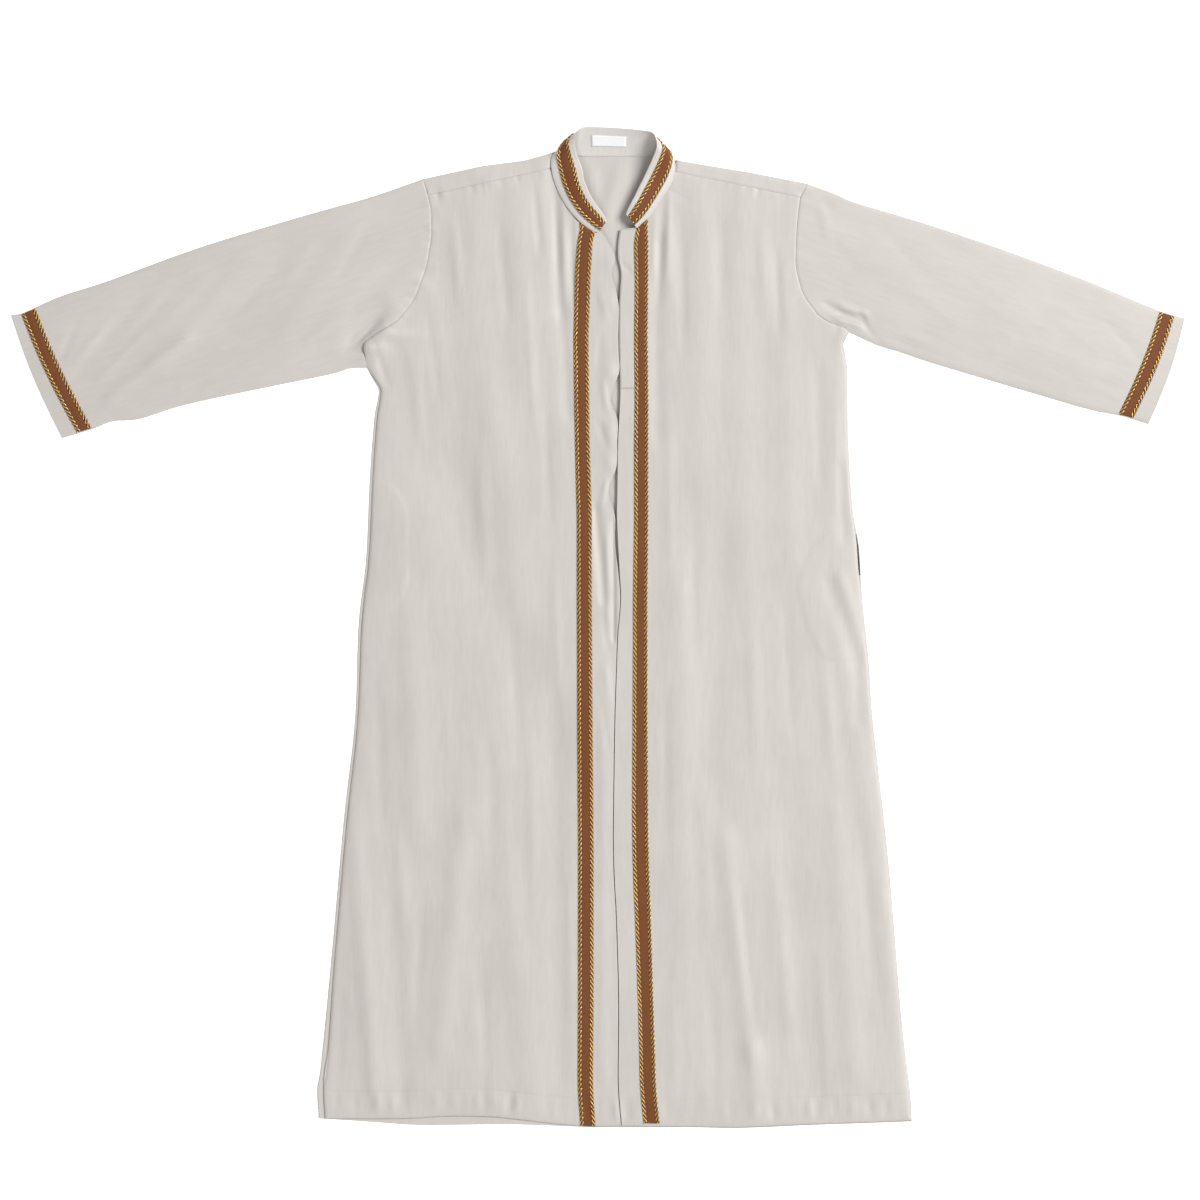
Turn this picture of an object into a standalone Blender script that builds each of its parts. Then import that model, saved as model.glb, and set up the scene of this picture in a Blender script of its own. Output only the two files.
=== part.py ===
"""Long open-fronted thobe robe with a stand collar and braid trim, laid flat on a surface.

The robe lies on its back, seen from above. X runs to the wearer's left sleeve, Y to the collar and
Z up from the surface. The origin is the middle of the outline, on the surface. All sizes below are
millimetres on the real garment; the points are turned into metres as each mesh is made.
"""
from collections import namedtuple
from math import cos, exp, pi, sin

import bmesh
import bpy
import numpy as np

MM = 0.001
ROBE = "thobe_robe"

# Walls and gaps
CLOTH = 1.0
BAND = 1.6
GAP = 0.3
FOLD_RADIUS = 1.5
FOLD_EDGE = 2 * FOLD_RADIUS
SEAM_EDGE = 2 * CLOTH + GAP
CROWN = 4.6
RISE_LENGTH = 9.0
RELIEF_FADE = 16.0
FOLD_STEPS = 3
POCKET_STEP = 0.7

# Braid: a woven tape between two twisted ropes
BRAID_TAPE = 0.9
BRAID_ROPE = 1.8
BRAID_EDGE = 0.5
LABEL_WALL = 0.6
PLACKET_WALL = 1.0
PLACKET_INSET = 1.2
OPENING_SLIT = 1.0

FRONT_SHARES = (0.0, 0.025, 0.07, 0.14, 0.22, 0.30, 0.38, 0.46, 0.54, 0.62, 0.70, 0.78, 0.86, 0.93, 1.0)
NECK_COLUMNS = 6
SHOULDER_COLUMNS = 7
SLEEVE_STATIONS = 11

Point = namedtuple("Point", "x y")
NeckRow = namedtuple("NeckRow", "edge_x edge_y in_x in_y out_x out_y")
OpeningRow = namedtuple("OpeningRow", "y edge braid_in braid_out")
Level = namedtuple("Level", "side_y front_y")
Fold = namedtuple("Fold", "x1 y1 x2 y2 width height")
CollarRow = namedtuple("CollarRow", "seam_x seam_y rest free_x free_y free_z belly")
BagRow = namedtuple("BagRow", "y inner_x")
ProfilePoint = namedtuple("ProfilePoint", "across height")

# Armholes, from the shoulder fold down to the underarm; the shoulder seam ends at row 2
SHOULDER_SEAM_ROW = 2
BRAID_TOP_ROW = 9
ARMHOLE_RIGHT = tuple(Point(*row) for row in (
    (-237, 606), (-232, 593), (-230, 584), (-226, 568), (-225, 548), (-225, 528),
    (-228, 508), (-232, 487), (-239, 467), (-247, 447), (-259, 429), (-271, 415),
    (-286, 404), (-300, 396), (-310, 389), (-316, 381), (-314, 366), (-312, 351),
))
ARMHOLE_LEFT = tuple(Point(*row) for row in (
    (282, 600), (277, 589), (273, 581), (270, 559), (268, 536), (267, 513),
    (267, 490), (270, 473), (275, 455), (281, 443), (290, 431), (296, 423),
    (303, 418), (309, 414), (316, 411), (324, 408), (333, 405), (339, 399),
))
LOWER_ROWS = (0, 3, 6, 9, 11, 13, 15, 17)

# Outline of the body below each underarm, down to the hem
OUTLINE_RIGHT = tuple(Point(*row) for row in (
    (-312, 351), (-302, 333), (-296, 321), (-298, 304), (-302, 281), (-308, 200), (-313, 92),
    (-323, 5), (-328, -124), (-343, -259), (-360, -448), (-374, -589), (-379, -622), (-377, -662),
))
OUTLINE_LEFT = tuple(Point(*row) for row in (
    (339, 399), (331, 383), (335, 362), (337, 340), (338, 254), (344, 161), (353, 107),
    (357, 38), (366, -49), (371, -124), (392, -313), (410, -529), (421, -620), (424, -662),
))
# How far the back shows past each front's side edge, by level
BACK_SHOWS_RIGHT = ((351, 0.0), (333, 3.0), (281, 4.0), (-450, 4.5), (-589, 8.0), (-662, 8.5))
BACK_SHOWS_LEFT = ((399, 0.0), (383, 1.0), (128, 1.2), (110, 3.5), (75, 3.5), (60, 1.2), (-662, 1.2))

# Shoulder folds and the back neckline, from the right armhole to the left one
BACK_TOP = tuple(Point(*row) for row in (
    (-237, 606), (-155, 624), (-100, 631), (-57, 643), (-42, 636), (-20, 635), (25, 635),
    (75, 635), (94, 635), (105, 632), (138, 626), (205, 615), (282, 600),
))
NECK_FROM_X = -57
NECK_TO_X = 105
# Each shoulder strip's neck end, halfway and at the shoulder seam
STRIP_NECK_RIGHT = ((-61, 631), (-65, 620))
STRIP_NECK_LEFT = ((103.5, 624), (102, 616))

# Neck seam rows of the fronts: opening or neck edge, then the braid's two borders
NECK_RIGHT = tuple(NeckRow(*row) for row in (
    (-65, 620, -68, 619.3, -72, 618.5),
    (-60, 606, -63, 605.2, -67, 604.0),
    (-54, 591, -57, 590.0, -61, 588.6),
    (-46, 575.5, -49, 574.0, -53, 572.0),
    (-36, 560, -39, 558.0, -43, 555.5),
    (-26, 547.5, -29, 546.0, -33, 544.0),
    (-3, 536, -13, 539.0, -24, 543.5),
    (5, 533.5, -4, 531.0, -24.5, 538.0),
))
NECK_LEFT = tuple(NeckRow(*row) for row in (
    (102, 616, 105, 615.4, 109, 614.6),
    (100, 606, 103, 605.0, 107, 604.0),
    (95, 596, 98, 594.8, 102, 593.5),
    (88.5, 585, 91.5, 583.3, 95.5, 581.5),
    (81, 573, 84, 571.0, 88, 568.5),
    (70, 557, 73, 555.0, 77, 552.5),
    (53, 541.5, 60, 545.0, 68, 549.0),
    (30, 538, 52.5, 537.5, 66.5, 544.0),
))

# Opening edges and braid borders below the neck
OPENING_LEFT = tuple(OpeningRow(*row) for row in (
    (538, 30.0, 52.5, 66.5), (520, 27.5, 49.0, 68.0), (500, 27.2, 49.0, 68.0),
    (475, 32.0, 50.0, 68.0), (450, 29.2, 50.0, 67.5), (389, 28.5, 49.0, 67.0),
    (315, 30.5, 50.0, 68.0), (254, 27.0, 49.0, 68.0), (146, 25.5, 49.0, 68.0),
    (38, 31.0, 47.5, 67.0), (-10, 27.0, 47.5, 67.0), (-124, 23.0, 47.0, 67.0),
    (-232, 21.5, 46.0, 68.0), (-313, 21.0, 46.5, 69.0), (-394, 25.5, 50.0, 72.0),
    (-502, 28.5, 54.0, 75.0), (-610, 27.5, 56.5, 78.5), (-662, 32.0, 61.5, 84.0),
))
# The right front's edge is written as how far it parts from the left front's
PARTING = ((533.5, 25.0), (520, 13.0), (500, 3.5), (478, 12.0), (456, 5.0), (434, 0.0), (346, 0.0),
           (328, 9.0), (306, 12.0), (281, 2.0), (250, 0.0), (217, 4.0), (184, 13.0), (150, 8.0),
           (115, 3.0), (60, 0.0), (-662, 0.0))
BRAID_RIGHT = tuple(OpeningRow(*row) for row in (
    (533.5, 5.0, -4.0, -24.5), (520, 0.0, -6.8, -28.0), (500, 0.0, -8.0, -29.5),
    (476, 0.0, -9.5, -31.0), (389, 0.0, -12.5, -33.0), (254, 0.0, -11.0, -31.0),
    (146, 0.0, -8.0, -28.5), (38, 0.0, -8.0, -28.5), (-124, 0.0, -7.0, -28.0),
    (-286, 0.0, -5.5, -27.0), (-502, 0.0, -5.5, -27.0), (-610, 0.0, -6.5, -27.5),
    (-662, 0.0, -3.0, -24.0),
))

# Levels at which the armhole rows reach the opening, then the levels of the body
FRONT_Y_RIGHT = (520, 500, 478, 456, 434, 412, 390, 368)
FRONT_Y_LEFT = (520, 500, 480, 460, 440, 420, 402, 384)
TURN_RIGHT = tuple(Level(*row) for row in ((336, 346), (322, 328), (303, 306), (281, 281)))
TURN_LEFT = tuple(Level(*row) for row in ((383, 366), (362, 346), (340, 322.5), (305, 300)))
PLACKET_END_Y = 322.5
UPPER_LEVELS = (250, 217, 184, 150, 115, 78, 38)
HEM_LEVEL = -662
LOWER_LEVELS = 15
HEM_BLEND = 100.0

FRONT_HEM = ((-370, -662), (-265, -662), (-209, -659), (-163, -659), (-127, -661), (-58, -669),
             (-3, -672.5), (24, -671), (32, -668), (84, -668.5), (126, -672.5), (194, -673.5),
             (286, -669.5), (374, -666.5), (424, -664.5))
BACK_HEM = ((-377, -662), (-300, -667), (-238, -671), (-113, -670), (-3, -674), (126, -674),
            (194, -675), (286, -671), (374, -668), (424, -666))

# Sleeves: folded edges from the armhole to the cuff
SLEEVE_RIGHT_TOP = tuple(Point(*row) for row in (
    (-237, 606), (-279, 591), (-316, 579), (-402, 555), (-537, 514), (-663, 468), (-725, 448),
    (-775, 426), (-792.5, 423),
))
SLEEVE_RIGHT_BOTTOM = tuple(Point(*row) for row in (
    (-312, 351), (-335, 350), (-362, 342), (-470, 320), (-561, 300), (-618, 282), (-654, 279),
    (-680, 269), (-723, 256),
))
SLEEVE_LEFT_TOP = tuple(Point(*row) for row in (
    (282, 600), (320, 586), (348, 574), (435, 548), (543, 512), (656, 470), (707, 449), (759, 428),
    (792, 418),
))
SLEEVE_LEFT_BOTTOM = tuple(Point(*row) for row in (
    (339, 399), (376, 382), (408, 372), (456, 356), (597, 314), (666, 294), (707, 286), (743, 275),
))
CUFF_BOW = 4.5
ARMHOLE_FADE = 6
CUFF_RINGS_TOP = (35.0, 14.0, 0.0)
CUFF_RINGS_BOTTOM = (43.0, 22.0, 0.0)

# Collar band, from the right front end round the back of the neck to the left front end
COLLAR = tuple(CollarRow(*row) for row in (
    (0, 533, 1, 12, 549, 11, 2),
    (-10, 537, 1, 6, 560, 14, 2),
    (-29, 552, 1, -7, 578, 17, 3),
    (-44, 571, 1, -14, 592, 18, 3),
    (-54, 590, 1, -19, 606, 16, 3),
    (-61, 609, 1, -21, 619, 14, 3),
    (-63.5, 625, 1, -26, 632, 14, 4),
    (-63, 635, 1, -29.5, 643, 19, 5),
    (-56, 642, 1, -31, 653, 26, 6),
    (-45, 641, 0.9, -30, 664, 27, 6),
    (-33, 637.5, 0.7, -24, 671.5, 22, 3),
    (-15, 636.5, 0.45, -15, 675, 17, 2),
    (20, 636.5, 0.4, 20, 674, 15, 1),
    (50, 636.5, 0.45, 52, 671, 17, 1),
    (75, 637, 0.6, 72, 667, 23, 2),
    (90, 637.5, 0.9, 77, 658, 31, 3),
    (100, 635, 1, 78.5, 648, 31, 5),
    (104, 625, 1, 75, 637, 26, 5),
    (103, 613, 1, 68.5, 622, 21, 4),
    (99, 601, 1, 62, 608, 18, 3),
    (90, 586, 1, 55, 594, 17, 3),
    (79, 569, 1, 47, 578, 16, 3),
    (67, 553, 1, 41, 567, 14, 3),
    (52, 539.5, 1, 37, 558, 13, 2),
))
COLLAR_BRAID_FROM = 0.27
COLLAR_BRAID_TO = 0.79
LABEL_FROM_X = -11
LABEL_TO_X = 40
LABEL_LOW = 0.33
LABEL_HIGH = 0.71

BRAID_PROFILE = tuple(ProfilePoint(*row) for row in (
    (0.0, BRAID_EDGE), (0.13, BRAID_ROPE), (0.27, BRAID_TAPE),
    (0.73, BRAID_TAPE), (0.87, BRAID_ROPE), (1.0, BRAID_EDGE),
))

# Pocket bags, by level, from the slit at the side seam
BAG_LEFT = tuple(BagRow(*row) for row in (
    (126, 318), (100, 284), (60, 269), (20, 276), (-10, 286), (-44, 306),
))
BAG_RIGHT = tuple(BagRow(*row) for row in (
    (196, -280), (165, -258), (120, -255), (70, -256), (40, -264), (18, -284),
))
BAG_TO_OUTLINE = 9.0
BAG_SECTION = ((0.0, 0.5), (0.2, 1.0), (0.7, 1.0), (1.0, 0.5))

# Main folds of the upper cloth: ridges stand up, troughs sink
FOLDS = tuple(Fold(*row) for row in (
    (-60, 612, -50, 430, 9, -1.3), (-50, 430, -40, 290, 8, -1.1),
    (-112, 590, -98, 330, 17, 1.5), (-170, 575, -150, 300, 18, 1.2),
    (-205, 470, -180, 120, 20, -1.1), (-140, 300, -105, 20, 22, 1.1),
    (-270, 300, -200, 40, 26, -1.2), (-200, 40, -60, -250, 26, -1.3),
    (-250, 10, -245, -260, 20, 1.4), (-332, -260, -300, -640, 13, 2.0),
    (-180, -260, -213, -560, 18, 1.8), (-120, -330, -90, -640, 20, 1.2),
    (-280, -380, -262, -640, 14, -1.2), (-60, -100, -52, -600, 14, -1.0),
    (15, 170, 12, -15, 5, 1.4), (8, -60, 6, -600, 8, 0.7),
    (78, 520, 80, 260, 9, -1.2), (138, 590, 140, 200, 18, 1.3),
    (190, 575, 198, 60, 19, 1.1), (250, 430, 262, 90, 18, 1.2),
    (165, 120, 150, -200, 20, -1.1), (110, 40, 115, -500, 20, 1.2),
    (172, -290, 208, -575, 14, 1.8), (208, -575, 214, -660, 13, 1.8),
    (315, 60, 390, -360, 17, 1.6), (390, -360, 418, -640, 15, 1.4),
    (250, -200, 290, -620, 22, -1.2), (320, -250, 345, -600, 16, 1.2),
    (-330, 540, -420, 400, 20, 1.2), (-470, 500, -590, 360, 17, 1.3),
    (-558, 388, -656, 313, 11, 1.7), (-620, 440, -700, 350, 12, -1.0),
    (-350, 400, -520, 350, 15, 1.1), (-260, 500, -330, 430, 15, -1.2),
    (318, 428, 352, 421, 6, -1.7), (352, 418, 378, 384, 7, -1.5),
    (330, 530, 470, 420, 19, 1.1), (450, 500, 600, 400, 18, 1.2),
    (560, 390, 700, 340, 13, 1.1), (620, 450, 720, 380, 12, -1.0),
))


def distances(x, y, line):
    """Shortest distance from a point to a polyline."""
    ends = np.array([(point[0], point[1]) for point in line], float)
    start = ends[:-1]
    run = ends[1:] - start
    reach = np.array((x, y)) - start
    part = np.clip((reach * run).sum(1) / (run * run).sum(1), 0, 1)
    return float(np.sqrt(((reach - run * part[:, None]) ** 2).sum(1)).min())


def level_value(table, y):
    """Value of a two-column table at a level; the table runs downwards."""
    rows = table[::-1]
    return float(np.interp(y, [row[0] for row in rows], [row[1] for row in rows]))


def outline_x(outline, y):
    """Outline's x at a level."""
    return level_value([(point.y, point.x) for point in outline], y)


def hem_y(table, x):
    """Hem's y at a place across."""
    return float(np.interp(x, [row[0] for row in table], [row[1] for row in table]))


def front_side(outline, shows, y, side):
    """Front's side edge at a level; side is -1 on the right front and 1 on the left."""
    return outline_x(outline, y) - side * level_value(shows, y)


def side_line(outline, shows, side):
    """Front's side edge as a polyline."""
    return [(front_side(outline, shows, point.y, side), point.y) for point in outline]


FOLD_LINES = (
    SLEEVE_RIGHT_TOP, SLEEVE_RIGHT_BOTTOM, SLEEVE_LEFT_TOP, SLEEVE_LEFT_BOTTOM,
    BACK_TOP[:4], BACK_TOP[-4:],
)
SEAM_LINES = (
    side_line(OUTLINE_RIGHT, BACK_SHOWS_RIGHT, -1), side_line(OUTLINE_LEFT, BACK_SHOWS_LEFT, 1),
    FRONT_HEM,
)


def fold_height(fold, x, y):
    """Height that one fold adds: a rounded ridge that fades at both ends."""
    run = np.array((fold.x2 - fold.x1, fold.y2 - fold.y1), float)
    length = float(np.hypot(*run))
    reach = np.array((x - fold.x1, y - fold.y1), float)
    along = float(reach @ run) / length / length
    across = abs(reach[0] * run[1] - reach[1] * run[0]) / length
    over = max(-along, along - 1, 0.0) * length
    return fold.height * exp(-(across / fold.width) ** 2) * exp(-(over / (1.5 * fold.width)) ** 2)


def bag_height(x, y):
    """Step that a pocket bag pushes up in the front above it."""
    height = 0.0
    for rows, side in ((BAG_RIGHT, -1), (BAG_LEFT, 1)):
        if rows[-1].y <= y <= rows[0].y:
            if side * (x - level_value(rows, y)) > 0:
                height = POCKET_STEP
    return height


def cloth_top(x, y):
    """Height of the upper layer's outer face over the surface."""
    to_fold = min(distances(x, y, line) for line in FOLD_LINES)
    to_seam = min(distances(x, y, line) for line in SEAM_LINES)
    over_fold = CROWN - (CROWN - FOLD_EDGE) * exp(-to_fold / RISE_LENGTH)
    over_seam = CROWN - (CROWN - SEAM_EDGE) * exp(-to_seam / RISE_LENGTH)
    relief = bag_height(x, y) + sum(fold_height(fold, x, y) for fold in FOLDS)
    relief *= 1 - exp(-min(to_fold, to_seam) / RELIEF_FADE)
    return max(min(over_fold, over_seam) + relief, SEAM_EDGE)


def between(first, second, part):
    """Point part of the way from one point to another."""
    return tuple(a + (b - a) * part for a, b in zip(first, second))


def along(line, part):
    """Point at a fraction of a polyline's length."""
    ends = np.array([(point[0], point[1]) for point in line], float)
    steps = np.concatenate(([0], np.cumsum(np.hypot(*np.diff(ends, axis=0).T))))
    reach = part * steps[-1]
    return np.array((np.interp(reach, steps, ends[:, 0]), np.interp(reach, steps, ends[:, 1])))


def line_length(line):
    """Length of a polyline."""
    ends = np.array([(point[0], point[1]) for point in line], float)
    return float(np.hypot(*np.diff(ends, axis=0).T).sum())


def moved_aside(line, distance):
    """Polyline moved to its right-hand side by a distance."""
    ends = np.array([(point[0], point[1]) for point in line], float)
    run = np.gradient(ends, axis=0)
    run /= np.hypot(run[:, 0], run[:, 1])[:, None]
    return ends + np.stack((run[:, 1], -run[:, 0]), 1) * distance


def smooth_rows(rows, steps):
    """Rows with more between them, on a smooth curve through each column."""
    table = np.array(rows, float)
    padded = np.vstack((2 * table[0] - table[1], table, 2 * table[-1] - table[-2]))
    result = []
    for index in range(len(table) - 1):
        before, start, end, after = padded[index:index + 4]
        for step in range(steps):
            t = step / steps
            result.append(0.5 * (2 * start + (end - before) * t
                                 + (2 * before - 5 * start + 4 * end - after) * t * t
                                 + (3 * start - before - 3 * end + after) * t ** 3))
    result.append(table[-1])
    return result


def wall_object(name, points, material, collection, ring=False, keep=None, mirrored=False):
    """Closed wall from points[row][column][layer], layer 0 inside or below and 1 outside or above.

    A ring joins its last column to its first one. keep(column, row) says which cells are cloth.
    A mirrored wall has its cells split along the other diagonal.
    """
    rows = len(points) - 1
    columns = len(points[0]) - (0 if ring else 1)
    mesh = bmesh.new()
    bmesh.ops.create_grid(mesh, x_segments=columns, y_segments=rows, size=0.5)
    bmesh.ops.translate(mesh, verts=mesh.verts, vec=(0.5, 0.5, 0))
    bmesh.ops.scale(mesh, verts=mesh.verts, vec=(columns, rows, 1))
    if keep:
        cut = [face for face in mesh.faces
               if not keep(int(face.calc_center_median().x), int(face.calc_center_median().y))]
        bmesh.ops.delete(mesh, geom=cut, context="FACES")
    lifted = bmesh.ops.extrude_face_region(mesh, geom=mesh.faces[:])["geom"]
    outer = [item for item in lifted if isinstance(item, bmesh.types.BMVert)]
    bmesh.ops.translate(mesh, verts=outer, vec=(0, 0, 1))
    if ring:
        caps = [face for face in mesh.faces
                if all(vertex.co.x < 0.5 for vertex in face.verts)
                or all(vertex.co.x > columns - 0.5 for vertex in face.verts)]
        bmesh.ops.delete(mesh, geom=caps, context="FACES_ONLY")
    for face in mesh.faces[:]:
        turn = -1 if mirrored else 1
        corners = sorted(face.verts, key=lambda vertex: vertex.co.x + turn * vertex.co.y)
        if len({round(vertex.co.z) for vertex in face.verts}) == 1:
            bmesh.utils.face_split(face, corners[0], corners[-1])
    for vertex in mesh.verts:
        column = round(vertex.co.x) % len(points[0])
        place = points[round(vertex.co.y)][column][round(vertex.co.z)]
        vertex.co = [value * MM for value in place]
    if ring:
        bmesh.ops.remove_doubles(mesh, verts=mesh.verts, dist=0.000001)
    bmesh.ops.recalc_face_normals(mesh, faces=mesh.faces)
    if mesh.calc_volume(signed=True) < 0:
        bmesh.ops.reverse_faces(mesh, faces=mesh.faces)
    data = bpy.data.meshes.new(name)
    mesh.to_mesh(data)
    mesh.free()
    data.materials.append(material)
    piece = bpy.data.objects.new(name, data)
    collection.objects.link(piece)
    return piece


def laid(x, y, lift=0.0, wall=CLOTH):
    """Lower and upper point of a layer on the upper cloth's form, lifted off it."""
    top = cloth_top(x, y) + lift
    return (x, y, top - wall), (x, y, top)


def material_named(name, colour, roughness, metallic=0.0):
    """Principled material of one finish."""
    material = bpy.data.materials.new(name)
    material.use_nodes = True
    shader = material.node_tree.nodes["Principled BSDF"]
    shader.inputs["Base Color"].default_value = (*colour, 1)
    shader.inputs["Roughness"].default_value = roughness
    shader.inputs["Metallic"].default_value = metallic
    return material


# Front panels

def body_levels():
    """Levels of the body rows below the underarm, down to the hem."""
    last = UPPER_LEVELS[-1]
    step = (HEM_LEVEL - last) / LOWER_LEVELS
    return list(UPPER_LEVELS) + [last + step * (index + 1) for index in range(LOWER_LEVELS)]


def edge_places(side, y):
    """Opening edge and braid borders of a front at a level."""
    left = [level_value([(row.y, row[column]) for row in OPENING_LEFT], y) for column in (1, 2, 3)]
    if side > 0:
        return left
    edge = left[0] - OPENING_SLIT - level_value(PARTING, y)
    borders = [level_value([(row.y, row[column]) for row in BRAID_RIGHT], y) for column in (2, 3)]
    return [edge] + borders


def front_rows(side):
    """Rows of a front: each is its side point, then outer border, inner border and opening edge."""
    armhole, outline, shows = ((ARMHOLE_LEFT, OUTLINE_LEFT, BACK_SHOWS_LEFT) if side > 0
                               else (ARMHOLE_RIGHT, OUTLINE_RIGHT, BACK_SHOWS_RIGHT))
    neck = NECK_LEFT if side > 0 else NECK_RIGHT
    front_y = FRONT_Y_LEFT if side > 0 else FRONT_Y_RIGHT
    turn = TURN_LEFT if side > 0 else TURN_RIGHT
    rows = []
    for start, row in zip(armhole[SHOULDER_SEAM_ROW:], neck):
        rows.append((start, (row.out_x, row.out_y), (row.in_x, row.in_y), (row.edge_x, row.edge_y)))
    for start, y in zip(armhole[BRAID_TOP_ROW + 1:], front_y):
        edge, inner, outer = edge_places(side, y)
        rows.append((start, (outer, y), (inner, y), (edge, y)))
    levels = list(turn) + [Level(y, y) for y in body_levels()]
    for level in levels:
        edge, inner, outer = edge_places(side, level.front_y)
        start = (front_side(outline, shows, level.side_y, side), level.side_y)
        y = level.front_y
        rows.append((start, (outer, y), (inner, y), (edge, y)))
    return rows


def hung(x, y, table):
    """Point moved down or up so that the last rows follow the hem."""
    part = min(max((HEM_LEVEL + HEM_BLEND - y) / HEM_BLEND, 0.0), 1.0)
    return x, y + part * (hem_y(table, x) - HEM_LEVEL)


def front_points(side):
    """Front's points in plan, row by row, from the side to the opening."""
    result = []
    for start, outer, inner, edge in front_rows(side):
        row = [between(start, outer, share) for share in FRONT_SHARES]
        row += [inner, edge]
        result.append([hung(x, y, FRONT_HEM) for x, y in row])
    return result


def make_front(name, side, material, collection):
    """One front, a wall over its plan points."""
    points = [[laid(x, y) for x, y in row] for row in front_points(side)]
    return wall_object(name, points, material, collection)


def strip_points(rows, first, second, profile, skip=0.0):
    """Points of a strip that lies between two columns of a panel's rows."""
    result = []
    for row in rows:
        start, end = row[first], row[second]
        length = float(np.hypot(end[0] - start[0], end[1] - start[1]))
        below = [cloth_top(*start), cloth_top(*end)]
        line = []
        for point in profile:
            part = (skip + point.across * (length - 2 * skip)) / length
            x, y = between(start, end, part)
            floor = below[0] + (below[1] - below[0]) * part + GAP
            line.append(((x, y, floor), (x, y, floor + point.height)))
        result.append(line)
    return result


def make_front_braid(name, side, material, collection):
    """Braid down a front, from just under the neck seam to the hem."""
    rows = front_points(side)[BRAID_TOP_ROW - SHOULDER_SEAM_ROW:]
    return wall_object(name, strip_points(rows, -3, -2, BRAID_PROFILE), material, collection)


def make_placket(material, collection):
    """Fly strip on the left front, between its edge and the braid."""
    rows = [row for row in front_points(1)[BRAID_TOP_ROW - SHOULDER_SEAM_ROW:]
            if row[-1][1] >= PLACKET_END_Y - 0.1]
    flat = (ProfilePoint(0.0, PLACKET_WALL), ProfilePoint(1.0, PLACKET_WALL))
    points = strip_points(rows, -2, -1, flat, PLACKET_INSET)
    return wall_object("placket", points, material, collection)


# Back, with the shoulder strips that fold over to the front

def back_columns():
    """Places across the back's top edge."""
    right = np.linspace(BACK_TOP[0].x, NECK_FROM_X, SHOULDER_COLUMNS + 1)
    neck = np.linspace(NECK_FROM_X, NECK_TO_X, NECK_COLUMNS + 1)
    left = np.linspace(NECK_TO_X, BACK_TOP[-1].x, SHOULDER_COLUMNS + 1)
    return np.concatenate((right, neck[1:], left[1:]))


def fold_arc(step):
    """Offset and height of a fold's outer and inner face at a step round it."""
    angle = -pi / 2 + pi * step / FOLD_STEPS
    outer = (FOLD_RADIUS * cos(angle), FOLD_RADIUS * sin(angle))
    hollow = FOLD_RADIUS - CLOTH
    inner = (hollow * cos(angle), hollow * sin(angle))
    return outer, inner


def make_back(material, collection):
    """Back panel on the surface and the strips that fold over both shoulders."""
    places = back_columns()
    across = (places - places[0]) / (places[-1] - places[0])
    points = []
    right_side = list(OUTLINE_RIGHT[:0:-1]) + [ARMHOLE_RIGHT[index] for index in LOWER_ROWS[:0:-1]]
    left_side = list(OUTLINE_LEFT[:0:-1]) + [ARMHOLE_LEFT[index] for index in LOWER_ROWS[:0:-1]]
    for start, end in zip(right_side, left_side):
        row = []
        for part in across:
            x, y = hung(*between(start, end, part), BACK_HEM)
            row.append(((x, y, CLOTH), (x, y, 0.0)))
        points.append(row)
    tops = [hem_y(BACK_TOP, x) for x in places]
    for step in range(FOLD_STEPS + 1):
        outer, inner = fold_arc(step)
        row = []
        for x, y in zip(places, tops):
            middle = y - FOLD_RADIUS
            row.append(((x, middle + inner[0], FOLD_RADIUS + inner[1]),
                        (x, middle + outer[0], FOLD_RADIUS + outer[1])))
        points.append(row)
    first_wrap = len(right_side)
    last = len(places) - 1
    strips = ((ARMHOLE_RIGHT, *STRIP_NECK_RIGHT, 0, SHOULDER_COLUMNS),
              (ARMHOLE_LEFT, *STRIP_NECK_LEFT, last - SHOULDER_COLUMNS, last))
    for index in (1, SHOULDER_SEAM_ROW):
        row = [None] * len(places)
        for armhole, middle, seam, start, end in strips:
            neck = middle if index == 1 else seam
            outer = (armhole[index].x, armhole[index].y)
            lift = GAP if index == SHOULDER_SEAM_ROW else 0.0
            ends = (outer, neck) if start == 0 else (neck, outer)
            for column in range(start, end + 1):
                x, y = between(*ends, (column - start) / (end - start))
                top = cloth_top(x, y + lift)
                row[column] = ((x, y + lift, top - CLOTH), (x, y + lift, top))
        for column in range(SHOULDER_COLUMNS + 1, last - SHOULDER_COLUMNS):
            row[column] = points[-1][column]
        points.append(row)

    def is_cloth(column, row):
        if row < first_wrap:
            return True
        return column < SHOULDER_COLUMNS or column >= last - SHOULDER_COLUMNS

    return wall_object("back", points, material, collection, keep=is_cloth)


# Sleeves

def sleeve_shares(top, bottom):
    """Shares along the two folded edges at each station, from armhole to cuff."""
    top_length, bottom_length = line_length(top), line_length(bottom)
    rings = [(1 - a / top_length, 1 - b / bottom_length)
             for a, b in zip(CUFF_RINGS_TOP, CUFF_RINGS_BOTTOM)]
    shares = [(rings[0][0] * step / SLEEVE_STATIONS, rings[0][1] * step / SLEEVE_STATIONS)
              for step in range(SLEEVE_STATIONS)]
    return shares + rings


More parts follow.
